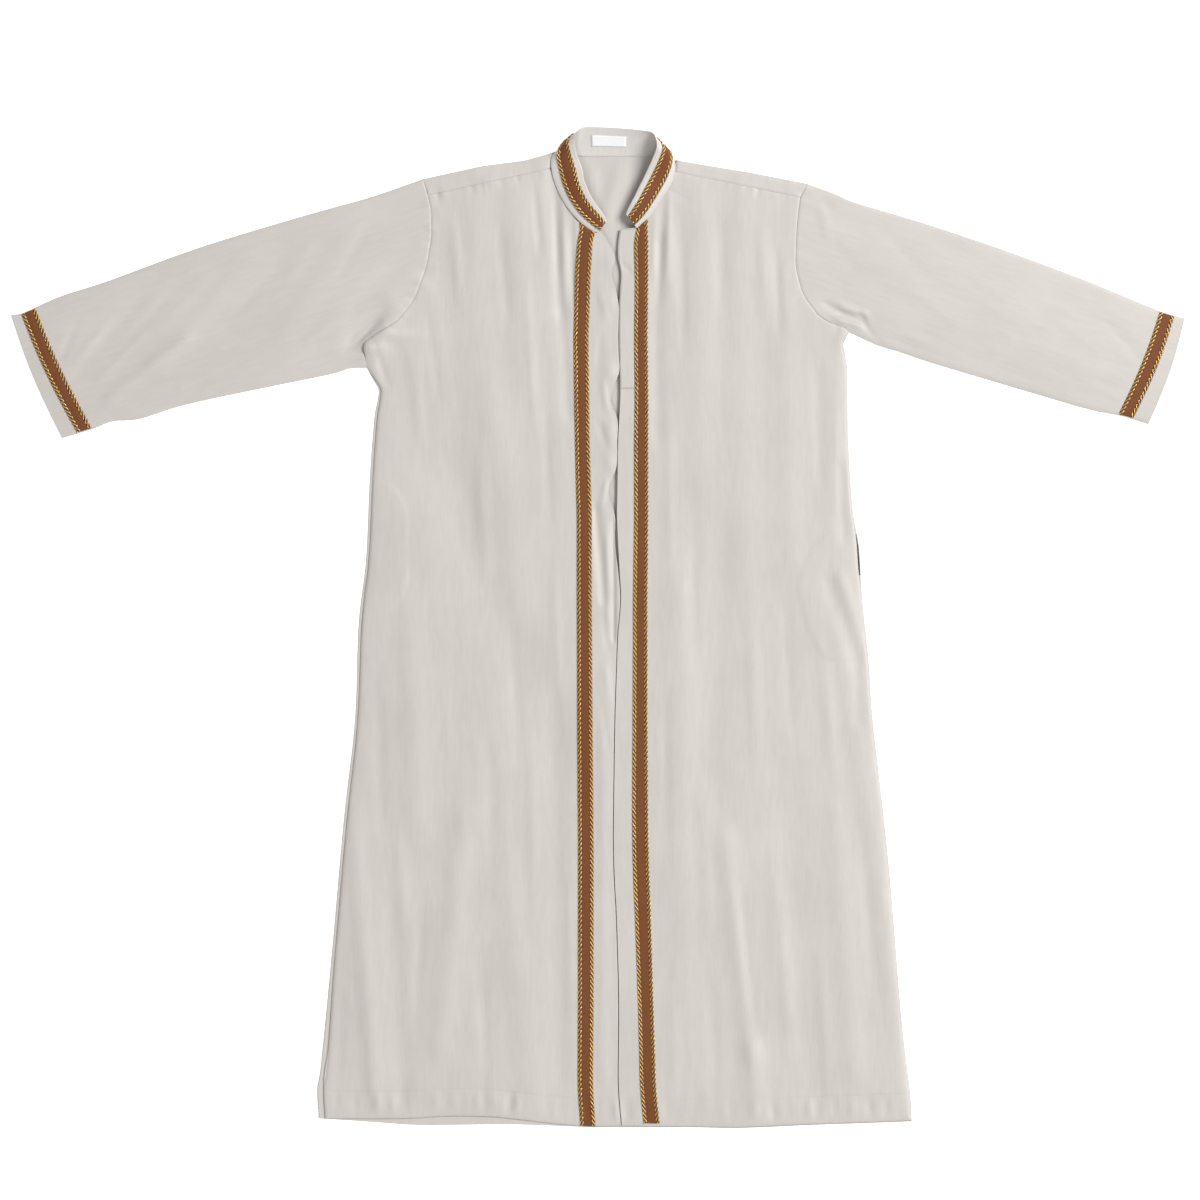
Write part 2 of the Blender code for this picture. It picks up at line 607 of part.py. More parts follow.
def sleeve_plan(side):
    """Sleeve's plan points for each station and armhole row, clear of the armhole by the gap."""
    top, bottom, armhole = ((SLEEVE_LEFT_TOP, SLEEVE_LEFT_BOTTOM, ARMHOLE_LEFT) if side > 0
                            else (SLEEVE_RIGHT_TOP, SLEEVE_RIGHT_BOTTOM, ARMHOLE_RIGHT))
    seam = moved_aside(armhole, -GAP * side)
    shares = np.linspace(0, 1, len(seam))
    plan = []
    for top_share, bottom_share in sleeve_shares(top, bottom):
        start, end = along(top, top_share), along(bottom, bottom_share)
        inward = (end - start) / np.hypot(*(end - start))
        start = start + inward * FOLD_RADIUS
        end = end - inward * FOLD_RADIUS
        fade = (1 - top_share) ** ARMHOLE_FADE
        row = []
        for index, share in enumerate(shares):
            point = between(start, end, share)
            first = between(along(top, 0), along(bottom, 0), share)
            bow = CUFF_BOW * top_share ** 3 * sin(pi * share)
            point = np.array(point) + fade * (seam[index] - np.array(first)) * (0 < share < 1)
            row.append(point + np.array((side * bow, 0)))
        outward = (-inward, inward)
        if top_share == 0:
            last = (seam[-1] - seam[-2]) / np.hypot(*(seam[-1] - seam[-2]))
            outward = (np.array((0.0, 1.0)), last)
            row = list(seam)
            row[0] = seam[0] - outward[0] * FOLD_RADIUS
            row[-1] = seam[-1] - outward[1] * FOLD_RADIUS
        plan.append((row, outward))
    return plan


def sleeve_fold(middle, outward):
    """Inner and outer points round a folded edge, from the lower layer to the upper one."""
    arc = []
    for step in range(1, FOLD_STEPS):
        outer, inner = fold_arc(step)
        arc.append(tuple((*(middle + outward * reach), FOLD_RADIUS + height)
                         for reach, height in (inner, outer)))
    return arc


def make_sleeve(name, side, material, collection):
    """Sleeve: a flattened tube with a rounded fold along its top and its bottom."""
    points = []
    for row, (top_out, bottom_out) in sleeve_plan(side):
        ring = [laid(x, y) for x, y in row]
        for index in (0, -1):
            ring[index] = tuple((*row[index], z) for z in (FOLD_EDGE - CLOTH, FOLD_EDGE))
        ring += sleeve_fold(row[-1], bottom_out)[::-1]
        ring += [((*row[index], CLOTH), (*row[index], 0.0)) for index in LOWER_ROWS[::-1]]
        ring += sleeve_fold(row[0], top_out)
        points.append(ring)
    return wall_object(name, points, material, collection, ring=True, mirrored=side > 0)


def make_cuff_braid(name, side, material, collection):
    """Braid over the upper side of a cuff, from fold to fold."""
    plan = sleeve_plan(side)
    first, second = plan[-3][0], plan[-2][0]
    rows = [(first[index], second[index]) for index in range(1, len(first) - 1)]
    points = strip_points(rows, 0, 1, BRAID_PROFILE)
    return wall_object(name, points, material, collection)


# Collar band, its braid and the label

def collar_rows():
    """Stations of the collar band as foot, belly and free point of its inner face."""
    stations = []
    for row in COLLAR:
        on_cloth = cloth_top(row.seam_x, row.seam_y) + GAP
        foot_z = on_cloth if row.rest == 1 else max(row.rest * (FOLD_EDGE + GAP), BAND + 0.1)
        foot = np.array((row.seam_x, row.seam_y, foot_z))
        free = np.array((row.free_x, row.free_y, row.free_z))
        stations.append((foot, free, row.belly))
    return stations


def collar_faces():
    """Function that gives the inner and outer point of the band at a station and share across."""
    stations = collar_rows()
    feet = np.array([foot for foot, free, belly in stations])
    frees = np.array([free for foot, free, belly in stations])
    bellies = np.array([belly for foot, free, belly in stations])
    run = np.gradient((feet + frees) / 2, axis=0)
    rise = frees - feet
    out = np.cross(rise, run)
    out /= np.linalg.norm(out, axis=1)[:, None]

    def face(index, share, lift):
        curve = 4 * share * (1 - share) * bellies[index]
        inner = feet[index] + rise[index] * share + out[index] * curve
        return inner + out[index] * lift

    return face, len(stations)


def collar_braid_shares():
    """Shares across the band where the braid's profile has its points."""
    width = COLLAR_BRAID_TO - COLLAR_BRAID_FROM
    return [COLLAR_BRAID_FROM + width * point.across for point in BRAID_PROFILE]


def make_collar(material, collection):
    """Stand collar band round the neck seam."""
    face, count = collar_faces()
    shares = [0.0] + collar_braid_shares() + [1.0]
    points = [[(face(index, share, 0.0), face(index, share, BAND)) for share in shares]
              for index in range(count)]
    return wall_object("collar", points, material, collection)


def make_collar_braid(material, collection):
    """Braid on the outer face of the collar band."""
    face, count = collar_faces()
    points = []
    for index in range(count):
        line = []
        low = BAND + GAP
        for point, share in zip(BRAID_PROFILE, collar_braid_shares()):
            line.append((face(index, share, low), face(index, share, low + point.height)))
        points.append(line)
    return wall_object("braid_collar", points, material, collection)


def make_label(material, collection):
    """Blank label on the inner face at the back of the collar."""
    face, count = collar_faces()
    points = []
    for index in range(count):
        x = face(index, 0.5, 0.0)[0]
        if LABEL_FROM_X - 6 <= x <= LABEL_TO_X + 6 and face(index, 0.5, 0.0)[1] > 640:
            line = [(face(index, share, -GAP), face(index, share, -GAP - LABEL_WALL))
                    for share in (LABEL_LOW, LABEL_HIGH)]
            points.append(line)
    return wall_object("label", points, material, collection)


# Pocket bags

def make_bag(name, rows, outline, side, material, collection):
    """Pocket bag between front and back, one flat solid from its outline to the side seam."""
    points = []
    low = CLOTH + GAP
    for row in smooth_rows(rows, 2):
        y, inner_x = row
        outer_x = outline_x(outline, y) - side * BAG_TO_OUTLINE
        line = []
        for part, thick in BAG_SECTION:
            x = inner_x + (outer_x - inner_x) * part
            line.append(((x, y, low), (x, y, low + thick)))
        points.append(line)
    return wall_object(name, points, material, collection)


def main():
    """Builds the robe."""
    for item in list(bpy.data.objects):
        bpy.data.objects.remove(item, do_unlink=True)
    robe = bpy.data.collections.new(ROBE)
    bpy.context.scene.collection.children.link(robe)
    cloth = material_named("greige_satin", (0.66, 0.63, 0.59), 0.45)
    band = material_named("collar_satin", (0.70, 0.67, 0.64), 0.45)
    braid = material_named("brown_gold_braid", (0.25, 0.10, 0.04), 0.5, 0.2)
    tag = material_named("white_label", (0.85, 0.85, 0.85), 0.6)
    make_back(cloth, robe)
    make_front("front_right", -1, cloth, robe)
    make_front("front_left", 1, cloth, robe)
    make_placket(cloth, robe)
    make_sleeve("sleeve_right", -1, cloth, robe)
    make_sleeve("sleeve_left", 1, cloth, robe)
    make_collar(band, robe)
    make_front_braid("braid_front_right", -1, braid, robe)
    make_front_braid("braid_front_left", 1, braid, robe)
    make_cuff_braid("braid_cuff_right", -1, braid, robe)
    make_cuff_braid("braid_cuff_left", 1, braid, robe)
    make_collar_braid(braid, robe)
    make_label(tag, robe)
    make_bag("pocket_right", BAG_RIGHT, OUTLINE_RIGHT, -1, cloth, robe)
    make_bag("pocket_left", BAG_LEFT, OUTLINE_LEFT, 1, cloth, robe)


main()
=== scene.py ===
"""Dressed scene of a long open-fronted thobe robe, laid flat and seen from straight above.

Each piece of cloth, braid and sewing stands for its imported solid. Sizes are millimetres on the real
garment: X runs to the wearer's left sleeve, Y to the collar and Z up from the surface.
"""

import logging
import random
from dataclasses import dataclass, field
from enum import Enum
from math import pi, radians
from typing import Callable, NamedTuple, Optional, Sequence

import bmesh
import bpy
import numpy as np
from mathutils import Matrix, Vector


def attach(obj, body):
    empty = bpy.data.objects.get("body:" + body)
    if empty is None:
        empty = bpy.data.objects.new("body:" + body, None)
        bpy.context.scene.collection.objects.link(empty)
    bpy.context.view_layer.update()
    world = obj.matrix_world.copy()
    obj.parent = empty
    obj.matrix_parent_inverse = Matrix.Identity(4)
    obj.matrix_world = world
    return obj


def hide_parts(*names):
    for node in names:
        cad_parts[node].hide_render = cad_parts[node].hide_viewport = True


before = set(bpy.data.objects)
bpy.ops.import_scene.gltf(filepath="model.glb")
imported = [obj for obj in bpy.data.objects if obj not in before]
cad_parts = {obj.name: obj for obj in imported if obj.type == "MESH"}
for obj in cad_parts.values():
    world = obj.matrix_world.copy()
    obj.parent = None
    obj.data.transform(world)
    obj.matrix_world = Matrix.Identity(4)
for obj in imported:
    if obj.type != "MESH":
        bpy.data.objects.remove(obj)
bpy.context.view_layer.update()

LOG = logging.getLogger("thobe_robe")
Array = np.ndarray
MM = 0.001

# Walls, gaps and folded edges
CLOTH = 1.0
BAND = 1.6
GAP = 0.3
SEAM_GAP = 0.08
FOLD_RADIUS = 1.5
FOLD_EDGE = 2 * FOLD_RADIUS
SEAM_EDGE = 2 * CLOTH + GAP

# Widths of the collar band and the braid, as their patterns take them
BAND_HEIGHT = 40.0
BRAID_WIDTH = 20.0

# Mesh: a cell, the fine rows inside a finished edge, and in metres how near two points are one
CELL = 4.0
EDGE_CELLS = (0.4, 1.1, 2.2, 3.8)
WELD = 0.000001


class Side(Enum):
    """Wearer's side of the robe; the value is the sign of x there."""

    RIGHT = -1
    LEFT = 1


class Twist(Enum):
    """Way in which a rope's plies lean, seen from outside; the value turns the helix."""

    LEANS_RIGHT = 1
    LEANS_LEFT = -1


class Grain(Enum):
    """Direction of a panel's warp, in degrees from the robe's length."""

    BODY = 0
    SLEEVE_RIGHT = 72
    SLEEVE_LEFT = -72


class Place(NamedTuple):
    """Point in plan."""

    x: float
    y: float


class NeckRow(NamedTuple):
    """Neck seam row of a front: its neck edge, then the braid's two borders."""

    edge_x: float
    edge_y: float
    in_x: float
    in_y: float
    out_x: float
    out_y: float


class OpeningRow(NamedTuple):
    """Opening edge and braid borders of a front at a level."""

    y: float
    edge: float
    braid_in: float
    braid_out: float


class Level(NamedTuple):
    """Row of a front that starts at one level at the side and ends at another at the opening."""

    side_y: float
    front_y: float


class Crease(NamedTuple):
    """Straight soft crease: a ridge where its height is positive, a trough where it is negative."""

    x1: float
    y1: float
    x2: float
    y2: float
    width: float
    height: float


class CollarRow(NamedTuple):
    """Station of the collar band: its seam, its free edge and how far it bellies out."""

    seam_x: float
    seam_y: float
    rest: float
    free_x: float
    free_y: float
    free_z: float
    belly: float


class BagRow(NamedTuple):
    """Inner outline of a pocket bag at a level."""

    y: float
    inner_x: float


class Lap(NamedTuple):
    """Rounded place where cloth stands up: its middle, half widths and height."""

    x: float
    y: float
    wide: float
    tall: float
    height: float


class ProfilePoint(NamedTuple):
    """Point of a strip's section."""

    across: float
    height: float


# Armholes, from the shoulder fold down to the underarm; the shoulder seam ends at row 2
SHOULDER_SEAM_ROW = 2
BRAID_TOP_ROW = 9
ARMHOLE = {
    Side.RIGHT: tuple(Place(*row) for row in (
        (-237, 606), (-232, 593), (-230, 584), (-226, 568), (-225, 548), (-225, 528),
        (-228, 508), (-232, 487), (-239, 467), (-247, 447), (-259, 429), (-271, 415),
        (-286, 404), (-300, 396), (-310, 389), (-316, 381), (-314, 366), (-312, 351))),
    Side.LEFT: tuple(Place(*row) for row in (
        (282, 600), (277, 589), (273, 581), (270, 559), (268, 536), (267, 513),
        (267, 490), (270, 473), (275, 455), (281, 443), (290, 431), (296, 423),
        (303, 418), (309, 414), (316, 411), (324, 408), (333, 405), (339, 399))),
}
LOWER_ROWS = (0, 3, 6, 9, 11, 13, 15, 17)

# Outline of the body below each underarm, down to the hem
OUTLINE = {
    Side.RIGHT: tuple(Place(*row) for row in (
        (-312, 351), (-302, 333), (-296, 321), (-298, 304), (-302, 281), (-308, 200), (-313, 92),
        (-323, 5), (-328, -124), (-343, -259), (-360, -448), (-374, -589), (-379, -622),
        (-377, -662))),
    Side.LEFT: tuple(Place(*row) for row in (
        (339, 399), (331, 383), (335, 362), (337, 340), (338, 254), (344, 161), (353, 107),
        (357, 38), (366, -49), (371, -124), (392, -313), (410, -529), (421, -620), (424, -662))),
}
# How far the back shows past each front's side edge, by level
BACK_SHOWS = {
    Side.RIGHT: ((351, 0.0), (333, 3.0), (281, 4.0), (-450, 4.5), (-589, 8.0), (-662, 8.5)),
    Side.LEFT: ((399, 0.0), (383, 1.0), (128, 1.2), (110, 3.5), (75, 3.5), (60, 1.2), (-662, 1.2)),
}

# Shoulder folds and the back neckline, from the right armhole to the left one
BACK_TOP = tuple(Place(*row) for row in (
    (-237, 606), (-155, 624), (-100, 631), (-57, 643), (-42, 636), (-20, 635), (25, 635),
    (75, 635), (94, 635), (105, 632), (138, 626), (205, 615), (282, 600)))
NECK_FROM_X = -57
NECK_TO_X = 105
# Each shoulder strip's neck end, halfway and at the shoulder seam
STRIP_NECK = {
    Side.RIGHT: (Place(-61, 631), Place(-65, 620)),
    Side.LEFT: (Place(103.5, 624), Place(102, 616)),
}

NECK = {
    Side.RIGHT: tuple(NeckRow(*row) for row in (
        (-65, 620, -68, 619.3, -72, 618.5),
        (-60, 606, -63, 605.2, -67, 604.0),
        (-54, 591, -57, 590.0, -61, 588.6),
        (-46, 575.5, -49, 574.0, -53, 572.0),
        (-36, 560, -39, 558.0, -43, 555.5),
        (-26, 547.5, -29, 546.0, -33, 544.0),
        (-3, 536, -13, 539.0, -24, 543.5),
        (5, 533.5, -4, 531.0, -24.5, 538.0))),
    Side.LEFT: tuple(NeckRow(*row) for row in (
        (102, 616, 105, 615.4, 109, 614.6),
        (100, 606, 103, 605.0, 107, 604.0),
        (95, 596, 98, 594.8, 102, 593.5),
        (88.5, 585, 91.5, 583.3, 95.5, 581.5),
        (81, 573, 84, 571.0, 88, 568.5),
        (70, 557, 73, 555.0, 77, 552.5),
        (53, 541.5, 60, 545.0, 68, 549.0),
        (30, 538, 52.5, 537.5, 66.5, 544.0))),
}
NECK_CORNER_ROW = 7
UNDERARM_ROW = 15

OPENING_LEFT = tuple(OpeningRow(*row) for row in (
    (538, 30.0, 52.5, 66.5), (520, 27.5, 49.0, 68.0), (500, 27.2, 49.0, 68.0),
    (475, 32.0, 50.0, 68.0), (450, 29.2, 50.0, 67.5), (389, 28.5, 49.0, 67.0),
    (315, 30.5, 50.0, 68.0), (254, 27.0, 49.0, 68.0), (146, 25.5, 49.0, 68.0),
    (38, 31.0, 47.5, 67.0), (-10, 27.0, 47.5, 67.0), (-124, 23.0, 47.0, 67.0),
    (-232, 21.5, 46.0, 68.0), (-313, 21.0, 46.5, 69.0), (-394, 25.5, 50.0, 72.0),
    (-502, 28.5, 54.0, 75.0), (-610, 27.5, 56.5, 78.5), (-662, 32.0, 61.5, 84.0)))
OPENING_SLIT = 1.0
# How far the right front's edge parts from the left front's, by level
PARTING = ((533.5, 25.0), (520, 13.0), (500, 3.5), (478, 12.0), (456, 5.0), (434, 0.0), (346, 0.0),
           (328, 7.0), (306, 12.0), (284, 1.5), (250, 0.0), (206, 1.0), (198, 5.0), (187, 12.0),
           (176, 8.0), (165, 2.0), (148, 1.5), (128, 5.0), (104, 2.0), (60, 0.0), (-662, 0.0))
BRAID_RIGHT = tuple(OpeningRow(*row) for row in (
    (533.5, 5.0, -4.0, -24.5), (520, 0.0, -6.8, -28.0), (500, 0.0, -8.0, -29.5),
    (476, 0.0, -9.5, -31.0), (389, 0.0, -12.5, -33.0), (254, 0.0, -11.0, -31.0),
    (146, 0.0, -8.0, -28.5), (38, 0.0, -8.0, -28.5), (-124, 0.0, -7.0, -28.0),
    (-286, 0.0, -5.5, -27.0), (-502, 0.0, -5.5, -27.0), (-610, 0.0, -6.5, -27.5),
    (-662, 0.0, -3.0, -24.0)))

# Levels at which the armhole rows reach the opening, then the levels of the body
FRONT_Y = {
    Side.RIGHT: (520, 500, 478, 456, 434, 412, 390, 368),
    Side.LEFT: (520, 500, 480, 460, 440, 420, 402, 384),
}
TURN = {
    Side.RIGHT: tuple(Level(*row) for row in ((336, 346), (322, 328), (303, 306), (281, 281))),
    Side.LEFT: tuple(Level(*row) for row in ((383, 366), (362, 346), (340, 322.5), (305, 300))),
}
PLACKET_END_Y = 322.5
UPPER_LEVELS = (250, 217, 184, 150, 115, 78, 38)
HEM_LEVEL = -662
LOWER_LEVELS = 15
HEM_BLEND = 100.0
HEM_DEPTH = 37.0

FRONT_HEM = tuple(Place(*row) for row in (
    (-370, -662), (-265, -662), (-209, -659), (-163, -659), (-127, -661), (-58, -669),
    (-3, -672.5), (24, -672), (32, -672), (84, -672.5), (126, -673), (194, -673.5),
    (286, -669.5), (374, -666.5), (424, -664.5)))
BACK_HEM = tuple(Place(*row) for row in (
    (-377, -662), (-300, -667), (-238, -671), (-113, -670), (-3, -674), (126, -674),
    (194, -675), (286, -671), (374, -668), (424, -666)))

# Sleeves: folded edges from the armhole to the cuff
SLEEVE_TOP = {
    Side.RIGHT: tuple(Place(*row) for row in (
        (-237, 606), (-279, 591), (-316, 579), (-402, 555), (-537, 514), (-663, 468),
        (-725, 448), (-775, 426), (-792.5, 423))),
    Side.LEFT: tuple(Place(*row) for row in (
        (282, 600), (320, 586), (348, 574), (435, 548), (543, 512), (656, 470), (707, 449),
        (759, 428), (792, 418))),
}
SLEEVE_BOTTOM = {
    Side.RIGHT: tuple(Place(*row) for row in (
        (-312, 351), (-335, 350), (-362, 342), (-470, 320), (-561, 300), (-618, 282),
        (-654, 279), (-680, 269), (-723, 256))),
    Side.LEFT: tuple(Place(*row) for row in (
        (339, 399), (376, 382), (408, 372), (456, 356), (597, 314), (666, 294), (707, 286),
        (743, 275))),
}
CUFF_RINGS_TOP = (35.0, 14.0, 0.0)
CUFF_RINGS_BOTTOM = (43.0, 22.0, 0.0)

# Collar band, from the right front end round the back of the neck to the left front end
COLLAR = tuple(CollarRow(*row) for row in (
    (0, 533, 1, 12, 549, 11, 2),
    (-10, 537, 1, 6, 560, 14, 2),
    (-29, 552, 1, -7, 578, 17, 3),
    (-44, 571, 1, -14, 592, 18, 3),
    (-54, 590, 1, -19, 606, 16, 3),
    (-61, 609, 1, -21, 619, 14, 3),
    (-63.5, 625, 1, -26, 632, 14, 4),
    (-63, 635, 1, -29.5, 643, 19, 5),
    (-56, 642, 1, -31, 653, 26, 6),
    (-45, 641, 0.9, -30, 664, 27, 6),
    (-33, 637.5, 0.7, -24, 671.5, 22, 3),
    (-15, 636.5, 0.45, -15, 675, 17, 2),
    (20, 636.5, 0.4, 20, 674, 15, 1),
    (50, 636.5, 0.45, 52, 671, 17, 1),
    (75, 637, 0.6, 72, 667, 23, 2),
    (90, 637.5, 0.9, 77, 658, 31, 3),
    (100, 635, 1, 78.5, 648, 31, 5),
    (104, 625, 1, 75, 637, 26, 5),
    (103, 613, 1, 68.5, 622, 21, 4),
    (99, 601, 1, 62, 608, 18, 3),
    (90, 586, 1, 55, 594, 17, 3),
    (79, 569, 1, 47, 578, 16, 3),
    (67, 553, 1, 41, 567, 14, 3),
    (52, 539.5, 1, 37, 558, 13, 2)))

# Pocket bags, by level, from the slit at the side seam
MOUTH_TOP = 132.0
MOUTH_END = 66.0
BAG = {
    Side.LEFT: tuple(BagRow(*row) for row in (
        (136, 326), (126, 306), (100, 284), (60, 269), (20, 276), (-10, 286), (-44, 306))),
    Side.RIGHT: tuple(BagRow(*row) for row in (
        (196, -280), (165, -258), (120, -255), (70, -256), (40, -264), (18, -284))),
}

# Main creases of the upper cloth
MAIN_CREASES = tuple(Crease(*row) for row in (
    (-60, 612, -50, 430, 9, -1.3), (-50, 430, -40, 290, 8, -1.1),
    (-112, 590, -98, 330, 17, 0.8), (-170, 575, -150, 300, 18, 0.6),
    (-205, 470, -180, 120, 20, -1.1), (-140, 300, -105, 20, 22, 1.1),
    (-246, 310, -42, -210, 40, -1.7),
    (-250, 10, -245, -260, 20, 1.4), (-332, -260, -300, -640, 13, 2.0),
    (-180, -260, -213, -560, 18, 1.8), (-120, -330, -90, -640, 20, 1.2),
    (-280, -380, -262, -640, 14, -1.2), (-60, -100, -52, -600, 14, -1.0),
    (-3, 158, 8, 40, 6, -1.9), (12, 118, 14, 14, 2.8, 0.9), (20.5, 140, 21, -14, 3.2, -1.6),
    (8, -60, 6, -600, 8, 0.7),
    (-326, 394, -290, 424, 12, -2.6), (-306, 366, -282, 426, 15, 2.6), (-300, 378, -286, 332, 5, -1.4),
    (78, 520, 80, 260, 9, -0.9), (138, 590, 140, 200, 18, 0.7),
    (190, 575, 198, 60, 19, 0.6), (250, 430, 262, 90, 18, 0.8),
    (165, 120, 150, -200, 20, -1.1), (110, 40, 115, -500, 20, 1.2),
    (172, -290, 208, -575, 14, 1.8), (208, -575, 214, -660, 13, 1.8),
    (330, 60, 361, -26, 9, 1.5), (313, 58, 347, -36, 11, -1.2), (349, -40, 352, -120, 9, -1.2),
    (329, 212, 333, 128, 8, -1.6), (366, -50, 378, -150, 9, 1.0),
    (330, -20, 390, -360, 16, 1.1), (390, -360, 418, -640, 15, 1.4),
    (250, -200, 290, -620, 22, -1.2), (320, -250, 345, -600, 16, 1.2),
    (-330, 540, -420, 400, 20, 0.7), (-470, 500, -590, 360, 17, 0.7),
    (-558, 388, -656, 313, 9, 1.2), (-620, 440, -700, 350, 12, -0.7),
    (-350, 400, -520, 350, 15, 0.6), (-260, 500, -330, 430, 15, -0.6),
    (330, 424, 353, 416, 3.4, -3.4),
    (326, 415, 350, 407, 4.5, 2.6), (355, 420, 379, 384, 4.5, -2.2), (363, 411, 374, 392, 4, 1.4),
    (309, 436, 322, 428, 5, -1.2), (330, 433, 358, 424, 4.6, 1.6),
    (330, 530, 470, 420, 19, 0.3), (450, 500, 600, 400, 18, 0.35),
    (560, 390, 700, 340, 13, 0.35), (620, 450, 720, 380, 12, -0.3)))
# Finer creases between them, which fade towards both ends
FINE_CREASES = tuple(Crease(*row) for row in (
    (-86, 600, -78, 500, 5, -0.6), (-135, 560, -120, 400, 8, -0.6), (-96, 470, -84, 250, 6, 0.5),
    (-196, 560, -186, 430, 7, 0.6), (-230, 430, -214, 300, 7, -0.6), (-250, 380, -236, 240, 8, 0.6),
    (-70, 330, -66, 130, 6, -0.5), (-160, 250, -150, 60, 9, 0.6), (-60, 100, -52, -110, 6, 0.5),
    (-120, 20, -104, -200, 9, -0.6), (-90, -150, -86, -420, 7, 0.5), (-150, -120, -140, -330, 9, -0.6),
    (-300, -60, -290, -300, 9, -0.7), (-270, -250, -262, -420, 8, 0.6), (-236, -350, -248, -560, 8, -0.7),
    (-345, -420, -352, -640, 6, -0.7), (-160, -420, -148, -630, 8, -0.6), (-40, -300, -38, -560, 5, 0.4),
    (98, 590, 96, 430, 6, 0.6), (112, 560, 116, 360, 7, -0.6), (165, 560, 168, 420, 8, -0.5),
    (222, 540, 226, 400, 8, 0.6), (240, 520, 246, 380, 6, -0.6), (296, 370, 300, 180, 9, -0.7),
    (320, 350, 322, 150, 6, 0.6), (96, 300, 98, 60, 7, 0.5), (130, 180, 128, -60, 9, -0.6),
    (205, 60, 214, -200, 10, 0.7), (250, 60, 262, -160, 9, -0.6), (300, 0, 322, -230, 9, 0.7),
    (90, -60, 92, -330, 6, -0.5), (140, -180, 150, -420, 9, 0.6), (190, -330, 212, -560, 7, -0.8),
    (240, -330, 262, -590, 9, 0.7), (352, -250, 378, -520, 8, -0.7), (100, -480, 104, -650, 7, 0.5),
    (150, -470, 160, -640, 8, -0.6), (300, -430, 312, -640, 8, 0.6),
    (-300, 560, -352, 470, 8, -0.3), (-370, 540, -440, 440, 9, 0.3), (-420, 500, -510, 400, 8, -0.3),
    (-520, 480, -600, 395, 8, 0.35), (-560, 470, -640, 380, 7, -0.4), (-610, 400, -680, 330, 6, 0.5),
    (-655, 420, -715, 345, 6, 0.5), (-450, 370, -560, 322, 7, -0.7), (-380, 380, -450, 350, 8, 0.6),
    (-330, 430, -400, 385, 8, 0.7), (-290, 420, -345, 372, 6, -0.8), (-700, 420, -740, 330, 6, -0.4),
    (300, 560, 372, 470, 8, 0.15), (360, 560, 450, 470, 8, -0.15), (400, 470, 500, 400, 9, 0.15),
    (480, 480, 580, 410, 7, -0.15), (520, 380, 620, 335, 7, 0.2), (600, 430, 680, 370, 7, 0.15),
    (400, 402, 470, 372, 6, 0.3), (376, 398, 430, 376, 5, -0.4), (680, 420, 742, 350, 6, -0.2),
    (640, 340, 716, 305, 6, 0.2), (296, 592, 318, 560, 8, -0.6), (300, 575, 312, 520, 7, 0.4),
    (12, 205, 4, 160, 4, 0.8), (6, 340, 12, 290, 4, 0.8), (0, 280, 14, 240, 4, -0.7),
    (2, 460, 12, 410, 4, 0.7), (4, 400, 0, 350, 4, -0.6), (46, 478, 30, 492, 3, -0.8),
    (6, 20, 16, -40, 4, -0.6), (8, -40, 18, -110, 4, 0.5), (4, -90, 14, -170, 4, -0.5),
    (-36, 560, -34, 430, 4, -0.9), (-48, 580, -44, 420, 3.5, 0.7), (-57, 590, -54, 440, 3.5, -0.7),
    (86, 575, 82, 430, 4, -0.8), (96, 590, 92, 460, 3.5, 0.6), (76, 555, 74, 470, 3.5, 0.6)))

# Where a front's edge stands up, at the foot of its armhole and along the opening
LAPS = {
    Side.RIGHT: tuple(Lap(*row) for row in (
        (-276, 396, 30, 11, 4.0), (-306, 377, 18, 9, 5.0),
        (16, 346, 10, 14, 2.5), (16, 262, 10, 20, 2.5), (16, 222, 8, 12, 2.0),
        (16, 490, 10, 12, 1.5), (16, 440, 10, 14, 2.0))),
    Side.LEFT: tuple(Lap(*row) for row in ((333, 388, 14, 14, 2.0),)),
}

# Where each front's braid starts under the collar, at its outer and its inner border, and how
# many fine rows of the front it leaves free above the hem
BRAID_TOPS = {Side.RIGHT: (Place(-25, 549), Place(-5, 536)), Side.LEFT: (Place(67, 553), Place(52.5, 541))}
BRAID_FREE_ROWS = {Side.RIGHT: 0, Side.LEFT: 4}


